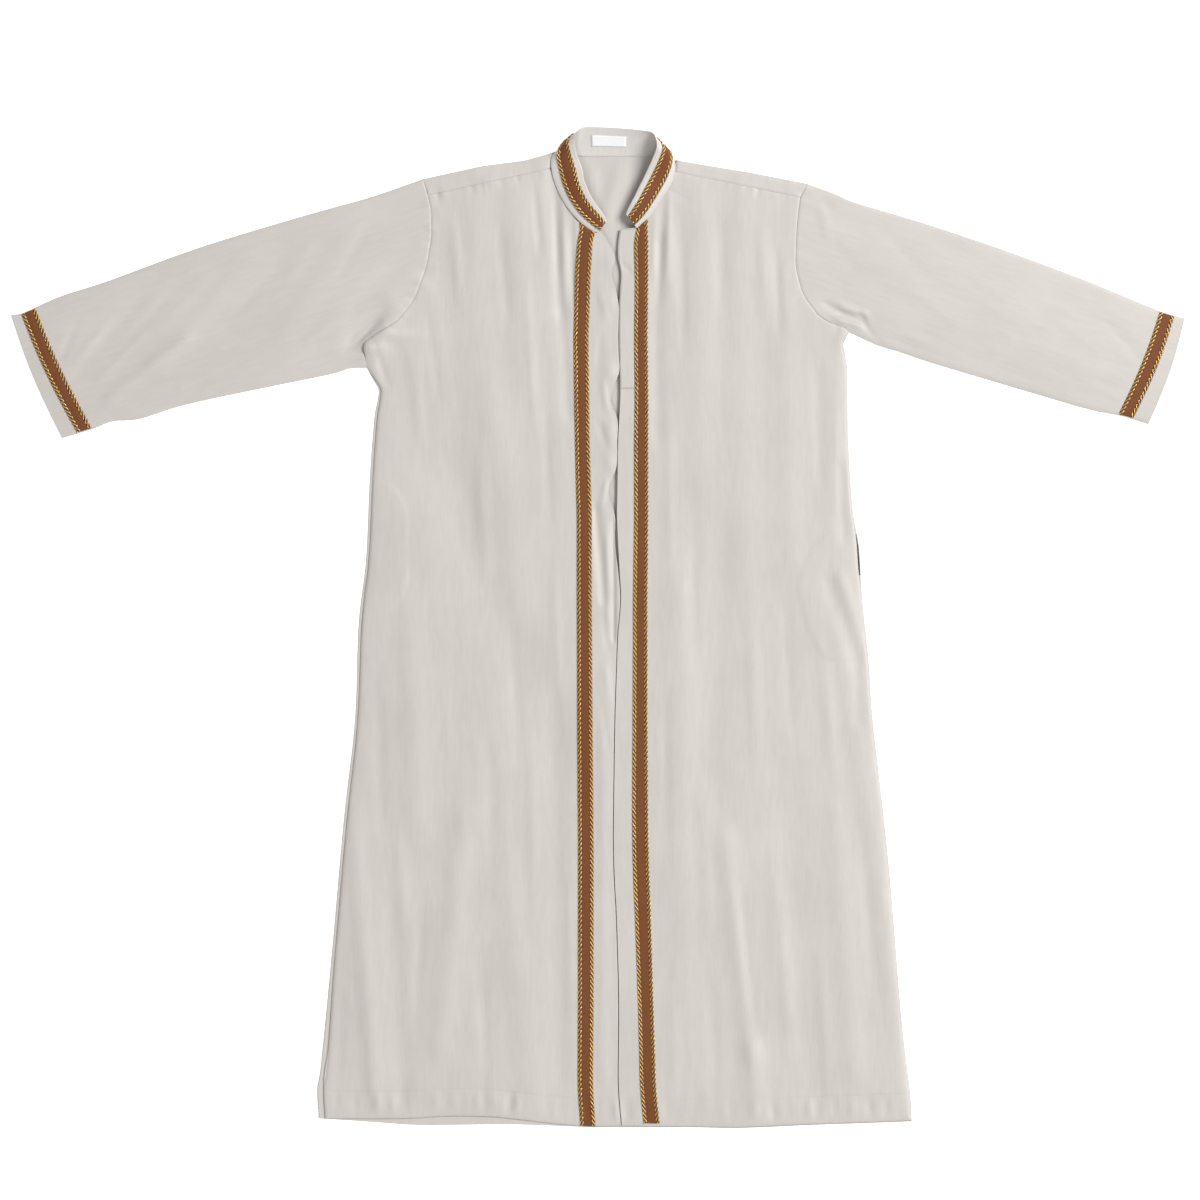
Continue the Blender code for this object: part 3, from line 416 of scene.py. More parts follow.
class Line:
    """Course in plan, in millimetres, with the length along it."""

    CHUNK = 4096

    def __init__(self, points: Array) -> None:
        """Takes the course's points in order.

        Args:
            points: places in plan, one row each.
        """
        self.points = np.asarray(points, float)
        runs = np.diff(self.points, axis=0)
        self.lengths = np.concatenate(([0.0], np.cumsum(np.hypot(runs[:, 0], runs[:, 1]))))

    @classmethod
    def smooth(cls, places: Sequence[Sequence[float]], steps: int = 3,
               corners: Sequence[int] = ()) -> "Line":
        """Course on a smooth curve through a table's points.

        Args:
            places: the table's points.
            steps: points for each stretch between two of them.
            corners: rows at which the course may turn sharply.

        Returns:
            The course.
        """
        table = np.array([place[:2] for place in places], float)
        count = (len(table) - 1) * steps
        return cls(spline(table, np.linspace(0, len(table) - 1, count + 1), corners))

    def length(self) -> float:
        """Whole length of the course."""
        return float(self.lengths[-1])

    def at(self, shares: Array) -> Array:
        """Points at shares of the whole length.

        Args:
            shares: from 0 at the start to 1 at the end.

        Returns:
            A point in plan for each share.
        """
        reach = np.asarray(shares, float) * self.lengths[-1]
        return at_lengths(reach, self.lengths, self.points)

    def nearest(self, plan: Array) -> tuple[Array, Array]:
        """Distance to the course and the length along it, for many points.

        Args:
            plan: points, one row each.

        Returns:
            Distances, and lengths along the course of the nearest places.
        """
        start, run = self.points[:-1], np.diff(self.points, axis=0)
        square = (run * run).sum(1)
        away, along = [], []
        for first in range(0, len(plan), self.CHUNK):
            reach = plan[first:first + self.CHUNK, None, :] - start
            part = np.clip((reach * run).sum(2) / square, 0, 1)
            gap = np.linalg.norm(reach - run * part[..., None], axis=2)
            best = gap.argmin(1)
            rows = np.arange(len(best))
            away.append(gap[rows, best])
            along.append(self.lengths[best] + part[rows, best] * np.sqrt(square[best]))
        return np.concatenate(away), np.concatenate(along)


def spline(table: Array, places: Array, corners: Sequence[int] = ()) -> Array:
    """Smooth curve through a table's rows.

    Args:
        table: rows of any shape.
        places: row numbers, whole or in between.
        corners: rows at which the curve may turn sharply.

    Returns:
        A row for each place.
    """
    table = np.asarray(table, float)
    last = len(table) - 1
    places = np.asarray(places, float)
    index = np.clip(np.floor(places).astype(int), 0, last - 1)
    wide = (-1,) + (1,) * (table.ndim - 1)
    part = (places - index).reshape(wide)
    sharp = np.zeros(last + 1, bool)
    sharp[[0, last, *corners]] = True
    start, end = table[index], table[index + 1]
    before, after = table[np.maximum(index - 1, 0)], table[np.minimum(index + 2, last)]
    leave = np.where(sharp[index].reshape(wide), end - start, (end - before) / 2)
    arrive = np.where(sharp[index + 1].reshape(wide), end - start, (after - start) / 2)
    return ((2 * part ** 3 - 3 * part ** 2 + 1) * start + (part ** 3 - 2 * part ** 2 + part) * leave
            + (3 * part ** 2 - 2 * part ** 3) * end + (part ** 3 - part ** 2) * arrive)


def level_value(table: Sequence[Sequence[float]], y: Array | float) -> Array:
    """Value of a two-column table at a level; the table runs downwards."""
    rows = np.array(table, float)[::-1]
    return np.interp(y, rows[:, 0], rows[:, 1])


def between(first: Array, second: Array, parts: Array) -> Array:
    """Points part of the way from one row of points to another.

    Args:
        first: points at part 0, one row each.
        second: points at part 1.
        parts: shares of the way.

    Returns:
        Points by row and part.
    """
    first, second = np.asarray(first, float), np.asarray(second, float)
    return first[:, None] + (second - first)[:, None] * np.asarray(parts, float)[None, :, None]


def walled(plan: Array, low: Array, high: Array) -> Array:
    """Both faces of a wall over plan points, the inner one first."""
    return np.stack((np.dstack((plan, low)), np.dstack((plan, high))), axis=2)


def run_lengths(points: Array) -> Array:
    """Length along a course in space at each of its points."""
    return np.concatenate(([0.0], np.cumsum(np.linalg.norm(np.diff(points, axis=0), axis=1))))


def at_lengths(reach: Array | float, lengths: Array, points: Array) -> Array:
    """Points of a course at lengths along it."""
    return np.stack([np.interp(reach, lengths, points[:, axis])
                     for axis in range(points.shape[1])], -1)


def crease_reach(crease: Crease, plan: Array) -> tuple[Array, Array, float]:
    """Where points lie along and across a crease.

    Args:
        crease: the crease.
        plan: points, one row each.

    Returns:
        Shares of the crease's length, distances from its line, and its length.
    """
    run = np.array((crease.x2 - crease.x1, crease.y2 - crease.y1), float)
    length = float(np.hypot(*run))
    reach = plan - np.array((crease.x1, crease.y1))
    across = np.abs(reach[:, 0] * run[1] - reach[:, 1] * run[0]) / length
    return reach @ run / length ** 2, across, length


def fold_step(middle: Array, outward: Array, step: int, steps: int) -> Array:
    """Both faces of the cloth at one step round a folded edge.

    Args:
        middle: where the upper layer ends, by place along the fold.
        outward: direction out of the fold.
        step: number of the step, counted up from the lower layer.
        steps: steps in the whole fold.

    Returns:
        Points by place and layer.
    """
    angle = -pi / 2 + pi * step / steps
    faces = [np.column_stack((middle + outward * reach * np.cos(angle),
                              np.full(len(middle), FOLD_RADIUS + reach * np.sin(angle))))
             for reach in (FOLD_RADIUS - CLOTH, FOLD_RADIUS)]
    return np.stack(faces, axis=1)


def spaced(lengths: Sequence[float], cell: float, edge_first: bool = False,
           edge_last: bool = False) -> Array:
    """Row numbers that split stretches into cells, finer at a finished edge.

    Args:
        lengths: length of each stretch between two rows.
        cell: length of a cell.
        edge_first: the first row is an edge.
        edge_last: the last row is an edge.

    Returns:
        Row numbers, whole and in between.
    """
    fine = np.array(EDGE_CELLS)
    places = []
    for index, length in enumerate(lengths):
        count = max(1, round(length / cell))
        places.extend(index + np.arange(count) / count)
    places.append(len(lengths))
    if edge_first:
        places.extend(fine / lengths[0])
    if edge_last:
        places.extend(len(lengths) - fine / lengths[-1])
    return np.unique(np.round(places, 6))


def edged(count: int, width: float) -> Array:
    """Shares across a panel: even cells, with finer ones at both edges."""
    fine = np.array(EDGE_CELLS) / width
    return np.unique(np.concatenate((np.linspace(0, 1, count + 1), fine, 1 - fine)))


def lay_mesh(name: str, points: Array, ring: bool = False, keep: Optional[Array] = None,
             fabric: Optional[Array] = None) -> bpy.types.Object:
    """Closed wall of cloth, shaped from a flat grid.

    Args:
        name: the piece's name.
        points: places in millimetres by row, column and layer; layer 0 is the inner face.
        ring: joins the last column to the first one.
        keep: by row and column, whether a cell is cloth.
        fabric: pattern coordinates in metres by row and column.

    Returns:
        The new object.
    """
    rows, columns = points.shape[0] - 1, points.shape[1] - (0 if ring else 1)
    mesh = bmesh.new()
    bmesh.ops.create_grid(mesh, x_segments=columns, y_segments=rows, size=0.5)
    bmesh.ops.translate(mesh, verts=mesh.verts, vec=(0.5, 0.5, 0))
    bmesh.ops.scale(mesh, verts=mesh.verts, vec=(columns, rows, 1))
    if keep is not None:
        middles = [(face, face.calc_center_median()) for face in mesh.faces]
        cut = [face for face, middle in middles if not keep[int(middle.y), int(middle.x)]]
        bmesh.ops.delete(mesh, geom=cut, context="FACES")
    raised = bmesh.ops.extrude_face_region(mesh, geom=mesh.faces[:])["geom"]
    outer = [item for item in raised if isinstance(item, bmesh.types.BMVert)]
    bmesh.ops.translate(mesh, verts=outer, vec=(0, 0, 1))
    if ring:
        caps = [face for face in mesh.faces
                if all(vertex.co.x < 0.5 for vertex in face.verts)
                or all(vertex.co.x > columns - 0.5 for vertex in face.verts)]
        bmesh.ops.delete(mesh, geom=caps, context="FACES_ONLY")
    if fabric is not None:
        layer = mesh.loops.layers.uv.new("fabric")
        for face in mesh.faces:
            for loop in face.loops:
                loop[layer].uv = fabric[round(loop.vert.co.y), round(loop.vert.co.x)]
    metres = points * MM
    for vertex in mesh.verts:
        column = round(vertex.co.x) % points.shape[1]
        vertex.co = metres[round(vertex.co.y), column, round(vertex.co.z)]
    if ring:
        bmesh.ops.remove_doubles(mesh, verts=mesh.verts, dist=WELD)
    bmesh.ops.recalc_face_normals(mesh, faces=mesh.faces)
    if mesh.calc_volume(signed=True) < 0:
        bmesh.ops.reverse_faces(mesh, faces=mesh.faces)
    return finished(name, mesh)


def finished(name: str, mesh: bmesh.types.BMesh) -> bpy.types.Object:
    """Object from a worked mesh, smooth, at the origin.

    Args:
        name: the piece's name.
        mesh: the mesh, which is freed.

    Returns:
        The new object.
    """
    data = bpy.data.meshes.new(name)
    for face in mesh.faces:
        face.smooth = True
    mesh.to_mesh(data)
    mesh.free()
    piece = bpy.data.objects.new(name, data)
    bpy.context.scene.collection.objects.link(piece)
    return piece


def dressed(piece: bpy.types.Object, material: bpy.types.Material, slot: str,
            *nodes: str) -> bpy.types.Object:
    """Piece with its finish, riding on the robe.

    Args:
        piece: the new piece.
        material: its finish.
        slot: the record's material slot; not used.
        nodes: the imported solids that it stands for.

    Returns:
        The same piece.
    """
    piece.data.materials.append(material)
    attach(piece, "root")
    if nodes:
        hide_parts(*nodes)
    LOG.info("%s: %d faces", piece.name, len(piece.data.polygons))
    return piece


@dataclass(frozen=True)
class Pucker:
    """Row of small uneven puckers across a seam."""

    line: Line
    spacing: float
    width: float
    height: float
    reach: float
    seed: int

    def height_at(self, plan: Array) -> Array:
        """Height that the puckers add.

        Args:
            plan: points, one row each.

        Returns:
            A height for each point.
        """
        away, along = self.line.nearest(plan)
        dice = random.Random(self.seed)
        total = np.zeros(len(plan))
        near = away < 2.5 * self.reach
        place = dice.uniform(0, self.spacing)
        while place < self.line.length():
            size = self.height * dice.uniform(-1, 1)
            wide = self.width * dice.uniform(0.6, 1.4)
            total[near] += size * np.exp(-((along[near] - place) / wide) ** 2)
            place += self.spacing * dice.uniform(0.5, 1.5)
        return total * np.exp(-(away / self.reach) ** 2)


def side_edge(side: Side, y: Array | float) -> Array:
    """Front's side edge at a level.

    Args:
        side: the front's side.
        y: levels.

    Returns:
        The edge's x at each level.
    """
    edge = Line.smooth(OUTLINE[side], 3).points
    shows = level_value(BACK_SHOWS[side], y)
    return np.interp(y, edge[::-1, 1], edge[::-1, 0]) - side.value * shows


def hem_line(table: Sequence[Place], lift: float = 0.0) -> Line:
    """Hem as a course, or a course that runs a distance above it."""
    line = Line.smooth(table, 3)
    return Line(line.points + np.array((0, lift)))


def hung(plan: Array, table: Sequence[Place]) -> Array:
    """Points moved down or up so that the last rows follow the hem."""
    part = np.clip((HEM_LEVEL + HEM_BLEND - plan[..., 1]) / HEM_BLEND, 0.0, 1.0)
    line = Line.smooth(table, 3).points
    moved = plan.copy()
    moved[..., 1] += part * (np.interp(plan[..., 0], line[:, 0], line[:, 1]) - HEM_LEVEL)
    return moved


class ClothRelief:
    """Height of the upper layer's outer face over the surface, the same for all the pieces."""

    CROWN = 4.2
    RISE_LENGTH = 2.4
    SWELL = 2.2
    SWELL_LENGTH = 55.0
    RELIEF_FADE = 16.0
    PUCKER_FADE = 5.0
    POCKET_STEP = 0.7
    POCKET_SLOPE = 3.0
    SEAM_DEPTH = 0.6
    SEAM_WIDTH = 1.4
    SIDE_ROLL = 0.25
    MAIN_GAIN = 1.5
    FINE_GAIN = 2.0
    STITCH_DEPTH = 0.16
    STITCH_WIDTH = 1.6
    SEAM_START = 4.0
    ROLL_WIDTH = 1.5
    CREASE_END = 1.5
    TAPER = 0.7
    GATHER_SHARE = 0.55

    def __init__(self) -> None:
        """Sets out the folded edges, seams and puckers."""
        self.folds = [Line.smooth(table[side], 3) for table in (SLEEVE_TOP, SLEEVE_BOTTOM)
                      for side in Side]
        self.folds += [Line(np.array(BACK_TOP[:4], float)), Line(np.array(BACK_TOP[-4:], float))]
        self.sides = []
        for side in Side:
            levels = Line.smooth(OUTLINE[side], 3).points[:, 1]
            self.sides.append(Line(np.stack((side_edge(side, levels), levels), 1)))
        self.hem = hem_line(FRONT_HEM)
        self.hem_stitch = hem_line(FRONT_HEM, HEM_DEPTH)
        self.armholes = [Line.smooth(ARMHOLE[side], 3) for side in Side]
        self.shoulders = []
        for side in Side:
            ends = (ARMHOLE[side][SHOULDER_SEAM_ROW], (NECK[side][0].edge_x, NECK[side][0].edge_y))
            self.shoulders.append(Line(np.array([end[:2] for end in ends], float)))
        self.puckers = [
            Pucker(self.hem_stitch, 31.0, 6.0, 0.6, 22.0, 11),
            Pucker(hem_line(FRONT_HEM, HEM_DEPTH * self.GATHER_SHARE), 17.0, 4.2, 2.3, 13.0, 22),
            Pucker(self.shoulders[0], 12.0, 4.0, 1.2, 10.0, 12),
            Pucker(self.shoulders[1], 12.0, 4.0, 0.9, 10.0, 13),
            Pucker(self.armholes[0], 16.0, 4.5, 0.8, 12.0, 14),
            Pucker(self.armholes[1], 16.0, 4.5, 0.55, 12.0, 15),
            Pucker(self.armholes[0], 9.0, 2.8, 1.5, 7.0, 18),
            Pucker(self.armholes[1], 10.0, 2.8, 0.4, 6.0, 19),
            Pucker(self.folds[4], 19.0, 6.5, 1.1, 17.0, 20),
            Pucker(self.folds[5], 24.0, 7.0, 0.8, 15.0, 21),
        ]
        for side, seed in zip(Side, (16, 17)):
            rows = NECK[side][:NECK_CORNER_ROW]
            course = Line(np.array([(row.out_x, row.out_y) for row in rows], float))
            self.puckers.append(Pucker(course, 11.0, 3.0, 0.5, 26.0, seed))
            levels = np.linspace(500, -650, 60)
            borders = [edge_places(side, y)[2] for y in levels]
            braid = Line(np.stack((borders, levels), 1))
            self.puckers.append(Pucker(braid, 21.0, 5.0, 0.4, 9.0, seed + 10))

    def height(self, plan: Array) -> Array:
        """Height of the cloth's outer face.

        Args:
            plan: points in plan, of any leading shape.

        Returns:
            A height for each point.
        """
        flat = np.asarray(plan, float).reshape(-1, 2)
        to_fold = np.min([line.nearest(flat)[0] for line in self.folds], axis=0)
        to_side = np.min([line.nearest(flat)[0] for line in self.sides], axis=0)
        to_seam = np.minimum(to_side, self.hem.nearest(flat)[0])
        inside = np.maximum(to_fold - FOLD_RADIUS, 0.0)
        over_fold = self.CROWN - (self.CROWN - FOLD_EDGE) * np.exp(-inside / self.RISE_LENGTH)
        over_seam = self.CROWN - (self.CROWN - SEAM_EDGE) * np.exp(-to_seam / self.RISE_LENGTH)
        relief = self.creases(flat) + self.bags(flat)
        relief += self.SWELL * (1 - np.exp(-np.minimum(inside, to_seam) / self.SWELL_LENGTH))
        relief *= 1 - np.exp(-np.minimum(inside, to_seam) / self.RELIEF_FADE)
        gathers = np.sum([pucker.height_at(flat) for pucker in self.puckers], axis=0)
        relief += gathers * (1 - np.exp(-np.minimum(inside, to_seam) / self.PUCKER_FADE))
        top = np.maximum(np.minimum(over_fold, over_seam) + relief, SEAM_EDGE)
        to_set = np.min([line.nearest(flat)[0] for line in self.armholes + self.shoulders], axis=0)
        set_in = self.SEAM_DEPTH * np.exp(-(to_set / self.SEAM_WIDTH) ** 2)
        set_in *= 1 - np.exp(-inside / self.SEAM_START)
        roll = self.SIDE_ROLL * np.exp(-(to_side / self.ROLL_WIDTH) ** 2)
        to_stitch = self.hem_stitch.nearest(flat)[0]
        stitched = self.STITCH_DEPTH * np.exp(-(to_stitch / self.STITCH_WIDTH) ** 2)
        return (top - set_in - roll - stitched).reshape(np.shape(plan)[:-1])

    def creases(self, plan: Array) -> Array:
        """Height that the creases add.

        Args:
            plan: points, one row each.

        Returns:
            A height for each point.
        """
        total = np.zeros(len(plan))
        for table, gain, tapers in ((MAIN_CREASES, self.MAIN_GAIN, False),
                                    (FINE_CREASES, self.FINE_GAIN, True)):
            for crease in table:
                along, across, length = crease_reach(crease, plan)
                over = np.maximum(np.maximum(-along, along - 1), 0.0) * length
                height = crease.height * np.exp(-(across / crease.width) ** 2)
                height *= np.exp(-(over / (self.CREASE_END * crease.width)) ** 2)
                if tapers:
                    height *= np.sin(pi * np.clip(along, 0.0, 1.0)) ** self.TAPER
                total += gain * height
        return total

    def bags(self, plan: Array) -> Array:
        """Step that the pocket bags push up in the fronts above them.

        Args:
            plan: points, one row each.

        Returns:
            A height for each point.
        """
        total = np.zeros(len(plan))
        for side, rows in BAG.items():
            line = Line.smooth([(row.inner_x, row.y) for row in rows], 4).points
            inner = np.interp(plan[:, 1], line[::-1, 1], line[::-1, 0])
            inward = side.value * (plan[:, 0] - inner)
            ends = np.minimum(rows[0].y - plan[:, 1], plan[:, 1] - rows[-1].y)
            depth = np.clip(np.minimum(inward, ends) / self.POCKET_SLOPE, 0.0, 1.0)
            total += self.POCKET_STEP * depth * depth * (3 - 2 * depth)
        return total


def edge_places(side: Side, y: float) -> tuple[float, float, float]:
    """Opening edge and inner and outer braid borders of a front at a level."""
    left = [float(level_value([(row.y, row[column]) for row in OPENING_LEFT], y))
            for column in (1, 2, 3)]
    if side is Side.LEFT:
        return left[0], left[1], left[2]
    edge = left[0] - OPENING_SLIT - float(level_value(PARTING, y))
    borders = [float(level_value([(row.y, row[column]) for row in BRAID_RIGHT], y))
               for column in (2, 3)]
    return edge, borders[0], borders[1]


class Board:
    """Node board of one material."""

    def __init__(self, name: str) -> None:
        """Makes the material, with its surface shader and texture coordinates."""
        self.material = bpy.data.materials.new(name)
        self.material.use_nodes = True
        self.nodes = self.material.node_tree.nodes
        self.shader = self.nodes["Principled BSDF"]
        self.coordinates = self.nodes.new("ShaderNodeTexCoord")

    def add(self, kind: str, inputs: Optional[dict] = None, **settings: object) -> bpy.types.Node:
        """Adds a node.

        Args:
            kind: the node's type.
            inputs: values and links by socket name or number.
            settings: the node's own settings.

        Returns:
            The new node.
        """
        node = self.nodes.new(kind)
        for name, value in settings.items():
            setattr(node, name, value)
        for name, value in (inputs or {}).items():
            self.feed(node.inputs[name], value)
        return node

    def feed(self, socket: bpy.types.NodeSocket, value: object) -> None:
        """Sets a socket, or links an output to it."""
        if isinstance(value, bpy.types.NodeSocket):
            self.material.node_tree.links.new(value, socket)
        else:
            socket.default_value = value

    def surface(self, **values: object) -> None:
        """Sets or links the surface shader's sockets, named with underscores."""
        for name, value in values.items():
            self.feed(self.shader.inputs[name.replace("_", " ")], value)

    def tones(self, factor: bpy.types.NodeSocket, dark: Sequence[float], light: Sequence[float],
              low: float = 0.3, high: float = 0.7) -> bpy.types.NodeSocket:
        """Colour between two tones.

        Args:
            factor: the pattern.
            dark: colour at the pattern's low end.
            light: colour at its high end.
            low: pattern value of the dark tone.
            high: pattern value of the light tone.

        Returns:
            The colour socket.
        """
        ramp = self.add("ShaderNodeValToRGB", {"Fac": factor})
        ramp.color_ramp.elements[0].position = low
        ramp.color_ramp.elements[0].color = (*dark, 1)
        ramp.color_ramp.elements[1].position = high
        ramp.color_ramp.elements[1].color = (*light, 1)
        return ramp.outputs["Color"]

    def noise(self, vector: bpy.types.NodeSocket, scale: float, **inputs: float) -> bpy.types.NodeSocket:
        """Noise, with its other sockets by name."""
        return self.add("ShaderNodeTexNoise", {"Vector": vector, "Scale": scale, **inputs}).outputs["Fac"]

    def wave(self, vector: bpy.types.NodeSocket, scale: float, bands: str,
             **inputs: float) -> bpy.types.NodeSocket:
        """Stripes across a direction, with the other sockets by name."""
        values = {"Vector": vector, "Scale": scale, **inputs}
        return self.add("ShaderNodeTexWave", values, bands_direction=bands).outputs["Fac"]

    def drawn(self, vector: bpy.types.NodeSocket, share: float) -> bpy.types.NodeSocket:
        """Coordinates that draw a pattern out along y."""
        values = {"Vector": vector, "Scale": (1.0, share, 1.0)}
        return self.add("ShaderNodeMapping", values).outputs["Vector"]

    def maths(self, operation: str, *values: object) -> bpy.types.NodeSocket:
        """Sum, product or the like of values and links."""
        return self.add("ShaderNodeMath", dict(enumerate(values)), operation=operation).outputs[0]

    def grade(self, factor: bpy.types.NodeSocket, low: float, high: float) -> bpy.types.NodeSocket:
        """Pattern spread over a range of values."""
        node = self.add("ShaderNodeMapRange", {"Value": factor, "To Min": low, "To Max": high})
        return node.outputs["Result"]

    def bump(self, height: bpy.types.NodeSocket, distance: float, strength: float,
             under: Optional[bpy.types.NodeSocket] = None) -> bpy.types.NodeSocket:
        """Bump of a pattern, over another bump where one is given."""
        inputs = {"Height": height, "Distance": distance, "Strength": strength}
        if under is not None:
            inputs["Normal"] = under
        return self.add("ShaderNodeBump", inputs).outputs["Normal"]


@dataclass(frozen=True)
class ClothFinish:
    """Greige satin-backed crepe: soft sheen, fine weave, faint slubs and crinkle."""

    name: str
    grain: Grain = Grain.BODY
    dark: tuple[float, float, float] = (0.525, 0.492, 0.463)
    light: tuple[float, float, float] = (0.560, 0.526, 0.496)
    roughness: float = 0.48
    drape: float = 0.0028
    uses_fabric: bool = False

    def material(self) -> bpy.types.Material:
        """Builds the finish.

        Returns:
            The material.
        """
        board = Board(self.name)
        source = "UV" if self.uses_fabric else "Object"
        turned = board.add("ShaderNodeMapping", {
            "Vector": board.coordinates.outputs[source],
            "Rotation": (0.0, 0.0, radians(self.grain.value))}).outputs["Vector"]
        slubs = board.noise(board.drawn(turned, 0.12), 260.0, Detail=3.0, Roughness=0.6)
        clouds = board.noise(turned, 9.0, Detail=3.0, Roughness=0.55)
        half = board.maths("MULTIPLY", board.maths("ADD", slubs, clouds), 0.5)
        drape = board.noise(board.drawn(turned, 0.16), 17.0, Detail=2.0, Roughness=0.5, Distortion=0.5)
        crinkle = board.noise(board.drawn(turned, 0.4), 55.0, Detail=4.0, Roughness=0.55, Distortion=0.4)
        warp = board.wave(turned, 560.0, "X", Distortion=0.6, Detail=1.0)
        weft = board.wave(turned, 460.0, "Y", Distortion=0.6, Detail=1.0)
        weave = board.maths("MULTIPLY", warp, weft)
        soft = board.bump(crinkle, 0.0009, 0.4, board.bump(drape, self.drape, 0.6))
        fine = board.bump(slubs, 0.0002, 0.2, soft)
        board.surface(
            Base_Color=board.tones(half, self.dark, self.light, 0.38, 0.62),
            Roughness=board.grade(clouds, self.roughness - 0.06, self.roughness + 0.06),
            Normal=board.bump(weave, 0.00008, 0.35, fine),
            Sheen_Weight=0.25, Sheen_Roughness=0.4, Sheen_Tint=(1.0, 0.98, 0.95, 1.0),
            Specular_IOR_Level=0.35)
        return board.material


@dataclass(frozen=True)
class TapeFinish:
    """Brown woven tape with a fine herringbone."""

    name: str = "brown_tape"
    dark: tuple[float, float, float] = (0.094, 0.0275, 0.0068)
    light: tuple[float, float, float] = (0.222, 0.074, 0.0195)
    roughness: float = 0.55

    def material(self) -> bpy.types.Material:
        """Builds the finish.

        Returns:
            The material.
        """
        board = Board(self.name)
        parts = board.add("ShaderNodeSeparateXYZ", {0: board.coordinates.outputs["UV"]})
        lean = board.maths("ABSOLUTE", board.maths("SUBTRACT", parts.outputs[0], BRAID_WIDTH * MM / 2))
        rise = board.maths("ADD", lean, parts.outputs[1])
        chevron = board.add("ShaderNodeCombineXYZ", {0: rise}).outputs[0]
        ribs = board.wave(chevron, 210.0, "X", Distortion=0.8, Detail=2.0)
        specks = board.noise(board.coordinates.outputs["UV"], 900.0, Detail=3.0)
        mixed = board.maths("MULTIPLY", ribs, specks)
        board.surface(
            Base_Color=board.tones(mixed, self.dark, self.light, 0.08, 0.36),
            Roughness=board.grade(specks, self.roughness - 0.1, self.roughness + 0.1),
            Normal=board.bump(mixed, 0.0003, 0.6),
            Sheen_Weight=0.06, Sheen_Roughness=0.5, Specular_IOR_Level=0.25)
        return board.material


@dataclass(frozen=True)
class GoldThreadFinish:
    """Gold-wrapped thread of the braid's ropes, with darker turns."""

    name: str = "gold_thread"
    dark: tuple[float, float, float] = (0.46, 0.24, 0.05)
    light: tuple[float, float, float] = (0.90, 0.59, 0.20)
    metal: float = 0.75
    roughness: float = 0.36

    def material(self) -> bpy.types.Material:
        """Builds the finish.

        Returns:
            The material.
        """
        board = Board(self.name)
        turned = board.add("ShaderNodeMapping", {
            "Vector": board.coordinates.outputs["UV"],
            "Rotation": (0.0, 0.0, radians(35))}).outputs["Vector"]
        threads = board.wave(turned, 420.0, "X", Distortion=0.5, Detail=1.0)
        wear = board.noise(board.coordinates.outputs["Object"], 330.0, Detail=2.0)
        half = board.maths("MULTIPLY", board.maths("ADD", threads, wear), 0.5)
        board.surface(
            Base_Color=board.tones(half, self.dark, self.light, 0.25, 0.62),
            Roughness=board.grade(wear, self.roughness - 0.08, self.roughness + 0.12),
            Metallic=self.metal,
            Normal=board.bump(threads, 0.00015, 0.5))
        return board.material


@dataclass(frozen=True)
class LabelFinish:
    """Blank white woven label, satin with fine ribs."""

    name: str = "white_label"
    dark: tuple[float, float, float] = (0.78, 0.78, 0.80)
    light: tuple[float, float, float] = (0.88, 0.88, 0.88)

    def material(self) -> bpy.types.Material:
        """Builds the finish.

        Returns:
            The material.
        """
        board = Board(self.name)
        ribs = board.wave(board.coordinates.outputs["UV"], 700.0, "Y", Distortion=0.3)
        board.surface(
            Base_Color=board.tones(ribs, self.dark, self.light, 0.1, 0.9),
            Roughness=board.grade(ribs, 0.45, 0.6),
            Normal=board.bump(ribs, 0.00006, 0.5), Sheen_Weight=0.1, Sheen_Roughness=0.4)
        return board.material


@dataclass(frozen=True)
class SewingThreadFinish:
    """Twisted thread, of the stitches or of a rope's core; the core's near-black tones are partly painted
    shade for the gaps between the plies.
    """

    name: str
    dark: tuple[float, float, float]
    light: tuple[float, float, float]

    def material(self) -> bpy.types.Material:
        """Builds the finish.

        Returns:
            The material.
        """
        board = Board(self.name)
        lay = board.wave(board.coordinates.outputs["Object"], 620.0, "DIAGONAL", Distortion=1.0)
        board.surface(
            Base_Color=board.tones(lay, self.dark, self.light, 0.1, 0.9),
            Roughness=board.grade(lay, 0.4, 0.6), Normal=board.bump(lay, 0.00005, 0.5))
        return board.material


@dataclass(frozen=True)
class FloorFinish:
    """Plain pale studio floor with a faint grain, lit from below."""

    name: str = "pale_floor"
    dark: tuple[float, float, float] = (0.93, 0.93, 0.93)
    light: tuple[float, float, float] = (0.95, 0.95, 0.95)
    glow: float = 0.6

    def material(self) -> bpy.types.Material:
        """Builds the finish.

        Returns:
            The material.
        """
        board = Board(self.name)
        grain = board.noise(board.coordinates.outputs["Object"], 2.0)
        board.surface(Base_Color=board.tones(grain, self.dark, self.light),
                      Roughness=0.95, Specular_IOR_Level=0.1,
                      Emission_Color=(1.0, 1.0, 1.0, 1.0), Emission_Strength=self.glow)
        return board.material


